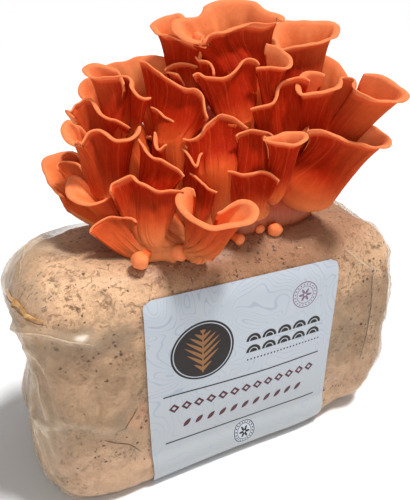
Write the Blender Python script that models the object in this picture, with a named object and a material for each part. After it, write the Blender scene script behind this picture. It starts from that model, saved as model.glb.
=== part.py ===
# Oyster mushroom grow kit: a block of straw and mycelium in clear film, a paper label on its front,
# and a cluster of oyster mushrooms that grows out of a cut in the film on top.
# Frame: origin under the middle of the block, +X to the right along the front, +Y to the back, +Z up.
# Lengths in this script are in millimetres. make_object turns them into metres.

import math

import bmesh
import bpy
import numpy as np

METRE = 0.001

# Driving sizes
BLOCK_WIDTH = 236.0
BLOCK_DEPTH = 102.0
BLOCK_HEIGHT = 145.0
BLOCK_ROUNDING = 25.0
STEPS_ACROSS = 4
STEPS_DEEP = 2
STEPS_HIGH = 2
BOTTOM_EDGE_FULLNESS = 6.0
RIGHT_EDGE_FULLNESS = 7.0
FILM_THICKNESS = 0.5
TOUCH_GAP = 0.3
CROWDED_GAP = 0.4
SHARPEST_FACING = 0.3
LABEL_LEFT = -57.0
LABEL_RIGHT = 70.0
LABEL_BOTTOM = 1.5
LABEL_TOP = 131.0
LABEL_THICKNESS = 0.5
LABEL_MARGIN = 2.0
CUT_CENTRE = (17.0, -12.0)
CUT_HALF_LENGTH = 66.0
CUT_HALF_WIDTH = 22.0
CUT_REACH = 12.0
RIM_THICKNESS = 1.6
RIM_ROLL = 1.7
RIM_POINT_SPACING = 11.5
FEWEST_COLUMNS = 5
MOST_COLUMNS = 8
STEM_STEPS = 1
CAP_STEPS = 2
BUD_SIDES = 8
BASE_SIDES = 20
CUT_SIDES = 16
OPEN_TURN = math.radians(77.0)
FLAT_ENOUGH = math.radians(2.0)
SMOOTH_BELOW = math.radians(50.0)

# How a cap leaves its stem and meets its rim. The rim stands steeper where it lies higher.
STEEPER_RIM = 28.0
STEEPER_PER_MM = 2.0
FLATTEST_RIM = -20.0
STEEPEST_RIM = 72.0
STEM_PULL = 0.34
RIM_PULL = 0.27
STEM_WIDENING = 0.6
STEM_BEND = 8.0
FRONT_SHARE = 0.25
PLAIN_BOWL = 0.5
PLAIN_BELLY = 0.35
FUNNEL_WALL = 0.45
EVEN_TURN_SHARE = 0.4
HIDDEN_HALF_TURN = 95.0
HIDDEN_KNOTS = 11

# Where the cluster is seen from. Rims are drawn on an upright board through the Z axis that faces it.
EYE = np.array([-125.0, -279.0, 274.0])
EYE_TO_BOARD = 305.7
BOARD_YAW = math.radians(24.8)
BOARD_RIGHT = np.array([math.cos(BOARD_YAW), -math.sin(BOARD_YAW), 0.0])
UP = np.array([0.0, 0.0, 1.0])

# Soft dents and swellings of the block: centre x, y, z, reach, height
BLOCK_SWELLS = [
    (-119.0, -10.0, 82.0, 20.0, -7.0),
    (-119.0, 20.0, 128.0, 26.0, 4.0),
    (-105.0, -40.0, 22.0, 24.0, 5.0),
    (0.0, -52.0, 75.0, 60.0, 2.5),
    (112.0, -40.0, 30.0, 24.0, -3.0),
    (119.0, 30.0, 96.0, 34.0, 6.0),
    (60.0, 45.0, 146.0, 34.0, 3.0),
    (30.0, 52.0, 70.0, 60.0, 2.0),
]


def on_board(across, height, nearer):
    """A point of the board, moved along its line of sight nearer to the eye."""
    board_point = BOARD_RIGHT * across + UP * height
    return EYE + (board_point - EYE) * (1.0 - nearer / EYE_TO_BOARD)


def unit(vector):
    return vector / max(np.linalg.norm(vector), 1e-9)


# ---------------------------------------------------------------- materials and objects


def make_material(name, colour, roughness, alpha=1.0, metallic=0.0):
    material = bpy.data.materials.new(name)
    material.use_nodes = True
    shader = material.node_tree.nodes["Principled BSDF"]
    shader.inputs["Base Color"].default_value = (*colour, 1.0)
    shader.inputs["Roughness"].default_value = roughness
    shader.inputs["Metallic"].default_value = metallic
    shader.inputs["Alpha"].default_value = alpha
    material.diffuse_color = (*colour, alpha)
    return material


def triangles_of(faces):
    """Every face as triangles from its first corner, so that a twisted face's copy is cut the same way."""
    return [[face[0], face[i], face[i + 1]] for face in faces for i in range(1, len(face) - 1)]


def make_object(name, points, faces, material, smooth=True):
    mesh = bpy.data.meshes.new(name)
    mesh.from_pydata([tuple(point * METRE) for point in points], [], triangles_of(faces))
    if smooth:
        mesh.shade_smooth()
        mesh.set_sharp_from_angle(angle=SMOOTH_BELOW)
    mesh.materials.append(material)
    obj = bpy.data.objects.new(name, mesh)
    bpy.context.scene.collection.objects.link(obj)
    return obj


def remove_object(obj):
    mesh = obj.data
    bpy.data.objects.remove(obj)
    bpy.data.meshes.remove(mesh)


def cut_away(obj, cutters, tidy=True):
    """Cuts the cutters from the object, and keeps the largest piece that is left."""
    for cutter in cutters:
        modifier = obj.modifiers.new("cut", "BOOLEAN")
        modifier.operation = "DIFFERENCE"
        modifier.solver = "MANIFOLD"
        modifier.object = cutter
    depsgraph = bpy.context.evaluated_depsgraph_get()
    cut_mesh = bpy.data.meshes.new_from_object(obj.evaluated_get(depsgraph))
    obj.modifiers.clear()
    whole_mesh = obj.data
    obj.data = cut_mesh
    bpy.data.meshes.remove(whole_mesh)
    keep_largest_piece(cut_mesh, tidy)


def keep_largest_piece(mesh, tidy):
    form = bmesh.new()
    form.from_mesh(mesh)
    if tidy:
        bmesh.ops.dissolve_limit(form, angle_limit=FLAT_ENOUGH, verts=form.verts[:], edges=form.edges[:])
    bmesh.ops.triangulate(form, faces=form.faces[:])
    pieces = []
    unseen = set(form.faces)
    while unseen:
        piece = [unseen.pop()]
        for face in piece:
            for edge in face.edges:
                for other in edge.link_faces:
                    if other in unseen:
                        unseen.discard(other)
                        piece.append(other)
        pieces.append(piece)
    pieces.sort(key=piece_volume)
    for piece in pieces[:-1]:
        bmesh.ops.delete(form, geom=piece, context="FACES")
    form.to_mesh(mesh)
    form.free()


def piece_volume(faces):
    volume = 0.0
    for face in faces:
        a, b, c = (corner.co for corner in face.verts)
        volume += a.dot(b.cross(c)) / 6.0
    return volume


def boxes_meet(first, second, margin=0.5):
    low_first, high_first = first
    low_second, high_second = second
    return bool(np.all(low_first - margin < high_second) and np.all(low_second - margin < high_first))


def grown(points, faces, distance):
    """The mesh with its corners moved out, further at a sharp edge, so that its faces move by distance."""
    triangles = np.array(triangles_of(faces))
    corners = points[triangles]
    face_normals = np.cross(corners[:, 1] - corners[:, 0], corners[:, 2] - corners[:, 0])
    normals = np.zeros_like(points)
    for corner in range(3):
        np.add.at(normals, triangles[:, corner], face_normals)
    normals /= np.maximum(np.linalg.norm(normals, axis=1, keepdims=True), 1e-9)
    face_normals /= np.maximum(np.linalg.norm(face_normals, axis=1, keepdims=True), 1e-9)
    facing = np.ones(len(points))
    for corner in range(3):
        corner_facing = (normals[triangles[:, corner]] * face_normals).sum(axis=1)
        np.minimum.at(facing, triangles[:, corner], corner_facing)
    return points + normals * (distance / np.clip(facing, SHARPEST_FACING, 1.0))[:, None]


# ---------------------------------------------------------------- block, film and label


def block_surface(x, y, z, grow):
    """The point of the block's skin that belongs to a point of its plain box, moved out by grow."""
    half = np.array([BLOCK_WIDTH, BLOCK_DEPTH, BLOCK_HEIGHT]) / 2.0
    middle = np.array([0.0, 0.0, half[2]])
    inner = half - BLOCK_ROUNDING
    box_point = np.array([x, y, z]) - middle
    core = np.clip(box_point, -inner, inner)
    outward = unit(box_point - core)
    skin = middle + core + outward * BLOCK_ROUNDING
    swell = 0.6 + 0.6 * math.sin(skin[0] / 19.0 + 0.7) * math.sin(skin[2] / 17.0 + skin[1] / 23.0)
    if outward[2] < 0.0:
        swell += BOTTOM_EDGE_FULLNESS * 2.0 * abs(outward[1] * outward[2])
    if outward[0] > 0.0:
        swell += RIGHT_EDGE_FULLNESS * 2.0 * abs(outward[0] * outward[1])
    for centre_x, centre_y, centre_z, reach, height in BLOCK_SWELLS:
        away = np.array([centre_x, centre_y, centre_z]) - skin
        swell += height * math.exp(-float(away @ away) / (2.0 * reach * reach))
    skin = skin + outward * (swell + grow)
    film_depth = TOUCH_GAP + FILM_THICKNESS
    skin[2] = max(skin[2], film_depth - grow)
    if z <= 0.0 and min(half[0] - abs(x), half[1] - abs(y)) > BLOCK_ROUNDING * 0.5:
        skin[2] = film_depth - grow
    return skin


def box_lines(half, inner_steps):
    start = half - BLOCK_ROUNDING
    ends = [start + BLOCK_ROUNDING * math.tan(math.radians(22.5)), half]
    middle = list(np.linspace(-start, start, inner_steps + 1))
    return [-end for end in reversed(ends)] + middle + ends


def box_grid(x_lines, y_lines, z_lines):
    """Corners and faces of a closed box whose sides are cut into a grid."""
    corners = {}
    points = []
    faces = []

    def corner(i, j, k):
        key = (i, j, k)
        if key not in corners:
            corners[key] = len(points)
            points.append((x_lines[i], y_lines[j], z_lines[k]))
        return corners[key]

    last_x, last_y, last_z = len(x_lines) - 1, len(y_lines) - 1, len(z_lines) - 1
    for i in range(last_x):
        for j in range(last_y):
            faces.append([corner(i, j, 0), corner(i, j + 1, 0),
                          corner(i + 1, j + 1, 0), corner(i + 1, j, 0)])
            faces.append([corner(i, j, last_z), corner(i + 1, j, last_z),
                          corner(i + 1, j + 1, last_z), corner(i, j + 1, last_z)])
    for i in range(last_x):
        for k in range(last_z):
            faces.append([corner(i, 0, k), corner(i + 1, 0, k),
                          corner(i + 1, 0, k + 1), corner(i, 0, k + 1)])
            faces.append([corner(i, last_y, k), corner(i, last_y, k + 1),
                          corner(i + 1, last_y, k + 1), corner(i + 1, last_y, k)])
    for j in range(last_y):
        for k in range(last_z):
            faces.append([corner(0, j, k), corner(0, j, k + 1),
                          corner(0, j + 1, k + 1), corner(0, j + 1, k)])
            faces.append([corner(last_x, j, k), corner(last_x, j + 1, k),
                          corner(last_x, j + 1, k + 1), corner(last_x, j, k + 1)])
    return points, faces


def block_lines():
    """The grid lines of the block's box along each axis."""
    x_lines = box_lines(BLOCK_WIDTH / 2.0, STEPS_ACROSS)
    y_lines = box_lines(BLOCK_DEPTH / 2.0, STEPS_DEEP)
    z_lines = [BLOCK_HEIGHT / 2.0 + line for line in box_lines(BLOCK_HEIGHT / 2.0, STEPS_HIGH)]
    return x_lines, y_lines, z_lines


def block_shell(grow):
    points, faces = box_grid(*block_lines())
    return np.array([block_surface(*point, grow) for point in points]), faces


def make_block(material):
    points, faces = block_shell(0.0)
    return make_object("substrate_block", points, faces, material)


def make_film(material):
    outer, faces = block_shell(TOUCH_GAP + FILM_THICKNESS)
    inner, _ = block_shell(TOUCH_GAP)
    faces = triangles_of(faces)
    inner_faces = [[index + len(outer) for index in reversed(face)] for face in faces]
    film = make_object("film_bag", np.vstack([outer, inner]), faces + inner_faces, material)
    cutter = oval_cutter(BLOCK_HEIGHT - CUT_REACH, BLOCK_HEIGHT + CUT_REACH, material)
    cut_away(film, [cutter], tidy=False)
    remove_object(cutter)
    return film


def oval_cutter(low, high, material):
    """An upright oval prism with the outline of the cut in the film."""
    points = []
    for z in (low, high):
        for step in range(CUT_SIDES):
            angle = 2.0 * math.pi * step / CUT_SIDES
            x = CUT_CENTRE[0] + CUT_HALF_LENGTH * math.cos(angle)
            y = CUT_CENTRE[1] + CUT_HALF_WIDTH * math.sin(angle)
            points.append([x, y, z])
    faces = [list(reversed(range(CUT_SIDES))), list(range(CUT_SIDES, 2 * CUT_SIDES))]
    for step in range(CUT_SIDES):
        after = (step + 1) % CUT_SIDES
        faces.append([step, after, CUT_SIDES + after, CUT_SIDES + step])
    return make_object("cutter", np.array(points), faces, material, smooth=False)


def label_lines(low, high, film_lines):
    """The label's edges, and the film's grid lines that cross it and aren't too near them."""
    inside = [line for line in film_lines if low + LABEL_MARGIN < line < high - LABEL_MARGIN]
    return [low] + inside + [high]


def film_front(x, z, x_lines, z_lines, grow):
    """A point of the film's flat front faces, moved out by grow, on the face that it belongs to."""
    column = max(i for i in range(len(x_lines) - 1) if x_lines[i] <= x)
    row = max(i for i in range(len(z_lines) - 1) if z_lines[i] <= z)
    over = (x - x_lines[column]) / (x_lines[column + 1] - x_lines[column])
    up = (z - z_lines[row]) / (z_lines[row + 1] - z_lines[row])
    front = -BLOCK_DEPTH / 2.0
    low_left = block_surface(x_lines[column], front, z_lines[row], grow)
    low_right = block_surface(x_lines[column + 1], front, z_lines[row], grow)
    high_left = block_surface(x_lines[column], front, z_lines[row + 1], grow)
    high_right = block_surface(x_lines[column + 1], front, z_lines[row + 1], grow)
    low = low_left + (low_right - low_left) * over
    high = high_left + (high_right - high_left) * over
    return low + (high - low) * up


def make_label(material):
    film_x, _, film_z = block_lines()
    x_lines = label_lines(LABEL_LEFT, LABEL_RIGHT, film_x)
    z_lines = label_lines(LABEL_BOTTOM, LABEL_TOP, film_z)
    inner_grow = 3.0 * TOUCH_GAP + FILM_THICKNESS
    points = []
    for grow in (inner_grow + LABEL_THICKNESS, inner_grow):
        for z in z_lines:
            for x in x_lines:
                points.append(film_front(x, z, film_x, film_z, grow))
    columns = len(x_lines) - 1
    rows = len(z_lines) - 1
    wide = columns + 1
    layer = wide * (rows + 1)
    faces = []
    for row in range(rows):
        for column in range(columns):
            low = row * wide + column
            faces.append([low, low + 1, low + wide + 1, low + wide])
            faces.append([layer + low, layer + low + wide, layer + low + wide + 1, layer + low + 1])
    for row in range(rows):
        left = row * wide
        right = left + columns
        faces.append([left, left + wide, layer + left + wide, layer + left])
        faces.append([right, layer + right, layer + right + wide, right + wide])
    for column in range(columns):
        top = rows * wide + column
        faces.append([column, layer + column, layer + column + 1, column + 1])
        faces.append([top, top + 1, layer + top + 1, layer + top])
    return make_object("label", np.array(points), faces, material)


# ---------------------------------------------------------------- mushrooms


def smooth_rim(knots, count, closed):
    """Points at even spacing on a smooth curve through the knots; a closed one ends before its start."""
    if closed:
        padded = np.vstack([knots[-1], knots, knots[0], knots[1]])
    else:
        padded = np.vstack([2.0 * knots[0] - knots[1], knots, 2.0 * knots[-1] - knots[-2]])
    fine = []
    for index in range(1, len(padded) - 2):
        before, start, end, after = padded[index - 1:index + 3]
        for t in np.linspace(0.0, 1.0, 12, endpoint=False):
            fine.append(0.5 * (2.0 * start + (end - before) * t
                               + (2.0 * before - 5.0 * start + 4.0 * end - after) * t * t
                               + (3.0 * start - before - 3.0 * end + after) * t * t * t))
    fine.append(padded[-2])
    fine = np.array(fine)
    lengths = np.concatenate([[0.0], np.cumsum(np.linalg.norm(np.diff(fine, axis=0), axis=1))])
    even = np.linspace(0.0, lengths[-1], count, endpoint=not closed)
    return np.stack([np.interp(even, lengths, fine[:, axis]) for axis in range(3)], axis=1)


def rim_in_space(shape):
    """The rim's knots in space. A knot that is drawn lower on the board lies nearer to the eye."""
    drawn = np.array(shape["rim"])
    middle_height = float(np.mean(drawn[:, 1]))
    knots = []
    for across, height in drawn:
        nearer = shape["near"] + shape["level"] * (middle_height - height)
        knots.append(on_board(across, height, nearer))
    return np.array(knots)


def curve_between(start, start_pull, end, end_pull, t):
    """A cubic curve from start to end, which leaves along start_pull and arrives along end_pull."""
    first = start + start_pull
    last = end - end_pull
    return ((1.0 - t) ** 3 * start + 3.0 * (1.0 - t) ** 2 * t * first
            + 3.0 * (1.0 - t) * t ** 2 * last + t ** 3 * end)


def turns_round(spokes, side, front):
    """The angle round the stem for each spoke: even steps, drawn towards the spokes' own directions."""
    own = np.unwrap(np.arctan2(spokes @ side, spokes @ front))
    even = np.linspace(0.0, 2.0 * math.pi, len(spokes), endpoint=False)
    return EVEN_TURN_SHARE * (even + float(np.mean(own - even))) + (1.0 - EVEN_TURN_SHARE) * own


def cap_sheet(shape, across_count):
    """Rows of points from the foot to the rim, half way through the flesh.

    With each point come half the flesh's thickness, the way out on the gill side and the way to the rim.
    """
    closed = shape["closed"]
    rim = smooth_rim(shape["knots"], across_count, closed)
    foot = np.array(shape["foot"], dtype=float)
    waist = np.array(shape["waist"], dtype=float)
    rim_centre = rim.mean(axis=0)
    growth = unit(unit(waist - foot) + unit(rim_centre - waist))
    across = BOARD_RIGHT if closed else rim[-1] - rim[0]
    side = unit(across - growth * float(across @ growth))
    front = np.cross(side, growth)
    if closed:
        turns = turns_round(rim - rim_centre, side, front)
        root = side[None] * np.sin(turns)[:, None] + front[None] * np.cos(turns)[:, None]
        root = root * (1.0 - FUNNEL_WALL)
        root_half = np.full(across_count, FUNNEL_WALL)
    else:
        turns = np.linspace(-1.0, 1.0, across_count) * OPEN_TURN
        root = side[None] * np.sin(turns)[:, None]
        root_half = np.cos(turns)
    foot_radius, waist_radius = shape["radii"]
    start = waist + root * waist_radius
    reach = np.linalg.norm(rim - start, axis=1)[:, None]
    straight = (rim - start) / reach
    outward = rim - rim_centre if closed else rim - waist + front * FRONT_SHARE * reach
    outward[:, 2] = 0.0
    outward /= np.linalg.norm(outward, axis=1)[:, None]
    tilt = shape["flare"] + STEEPER_RIM + STEEPER_PER_MM * (rim[:, 2] - rim_centre[2])
    tilt = np.radians(np.clip(tilt, FLATTEST_RIM, STEEPEST_RIM))
    arrival = outward * np.cos(tilt)[:, None] + UP * np.sin(tilt)[:, None]
    leave = growth * (1.0 - shape["bowl"]) + straight * shape["bowl"] + outward * shape["belly"]
    rows = []
    halves = []
    for t in np.linspace(0.0, 1.0, STEM_STEPS, endpoint=False):
        radius = foot_radius + (waist_radius - foot_radius) * t ** STEM_WIDENING
        centre = curve_between(foot, UP * STEM_BEND, waist, growth * STEM_BEND, t)
        rows.append(centre + root * radius)
        halves.append(root_half * radius)
    for t in np.linspace(0.0, 1.0, CAP_STEPS + 1):
        rows.append(curve_between(start, leave * STEM_PULL * reach, rim, arrival * RIM_PULL * reach, t))
        fade = (1.0 - t) ** 3.0
        halves.append(RIM_THICKNESS / 2.0 * (1.0 - fade) + root_half * waist_radius * fade)
    rows = np.array(rows)
    halves = np.array(halves)
    along = np.gradient(rows, axis=0)
    if closed:
        over = np.roll(rows, -1, axis=1) - np.roll(rows, 1, axis=1)
    else:
        over = np.gradient(rows, axis=1)
    normals = np.cross(over, along)
    normals /= np.maximum(np.linalg.norm(normals, axis=2, keepdims=True), 1e-9)
    return rows, halves, normals, along


def mushroom_sides(shape, across_count):
    """A mushroom's gill side and top side, each as rows of points from the foot to the rolled rim."""
    rows, halves, normals, along = cap_sheet(shape, across_count)
    gill_side = rows + normals * halves[:, :, None]
    top_side = rows - normals * halves[:, :, None]
    arrival = along[-1] / np.maximum(np.linalg.norm(along[-1], axis=1, keepdims=True), 1e-9)
    roll_gill = gill_side[-1] + arrival * RIM_ROLL * 0.3 + normals[-1] * RIM_ROLL * 0.8
    roll_top = top_side[-1] + arrival * RIM_ROLL * 1.2 + normals[-1] * RIM_ROLL * 0.7
    gill_side = np.concatenate([gill_side, roll_gill[None]])
    top_side = np.concatenate([top_side, roll_top[None]])
    return gill_side, top_side


def ring_face(ring, index, around, top_side):
    """A face between two rings, from the corner that splits both sides of the flesh the same way."""
    after = (index + 1) % around
    low = ring * around
    high = low + around
    if top_side:
        return [low + after, high + after, high + index, low + index]
    return [low + index, low + after, high + after, high + index]


def loft_fan(gill_side, top_side):
    """A closed solid: each ring runs over the gill side and back over the top side."""
    rings = np.concatenate([gill_side, top_side[:, ::-1]], axis=1)
    ring_count, around, _ = rings.shape
    faces = []
    for ring in range(ring_count - 1):
        for index in range(around):
            faces.append(ring_face(ring, index, around, index >= around // 2))
    top = (ring_count - 1) * around
    for index in range(around // 2 - 1):
        opposite = around - 1 - index
        faces.append([top + index, top + index + 1, top + opposite - 1, top + opposite])
        faces.append([opposite, opposite - 1, index + 1, index])
    return rings.reshape(-1, 3), faces


def loft_funnel(gill_side, top_side):
    """A closed solid: up the gill side all round, over the rim and down the top side to the bottom."""
    inside = top_side[:STEM_STEPS:-1]
    bottom = top_side[STEM_STEPS + 1].mean(axis=0)
    rings = np.concatenate([gill_side, inside])
    ring_count, around, _ = rings.shape
    points = np.concatenate([rings.reshape(-1, 3), bottom[None]])
    faces = [list(reversed(range(around)))]
    for ring in range(ring_count - 1):
        for index in range(around):
            faces.append(ring_face(ring, index, around, ring >= len(gill_side)))
    last = (ring_count - 1) * around
    for index in range(around):
        faces.append([last + index, last + (index + 1) % around, len(points) - 1])
    return points, faces


def mushroom_solid(shape):
    if shape["closed"]:
        return loft_funnel(*mushroom_sides(shape, MOST_COLUMNS))
    rim_length = float(np.linalg.norm(np.diff(shape["knots"], axis=0), axis=1).sum())
    across_count = int(np.clip(round(rim_length / RIM_POINT_SPACING), FEWEST_COLUMNS, MOST_COLUMNS))
    return loft_fan(*mushroom_sides(shape, across_count))


def seen(name, near, level, flare, waist, foot, radii, rim, closed=False, bowl=PLAIN_BOWL,
         belly=PLAIN_BELLY):
    """A mushroom that shows in the view, its rim drawn on the board, left to right round its gill side."""
    shape = {"name": name, "near": near, "level": level, "flare": flare, "foot": foot, "radii": radii,
             "rim": rim, "closed": closed, "bowl": bowl, "belly": belly}
    shape["knots"] = rim_in_space(shape)
    shape["waist"] = on_board(*waist)
    return shape


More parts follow.
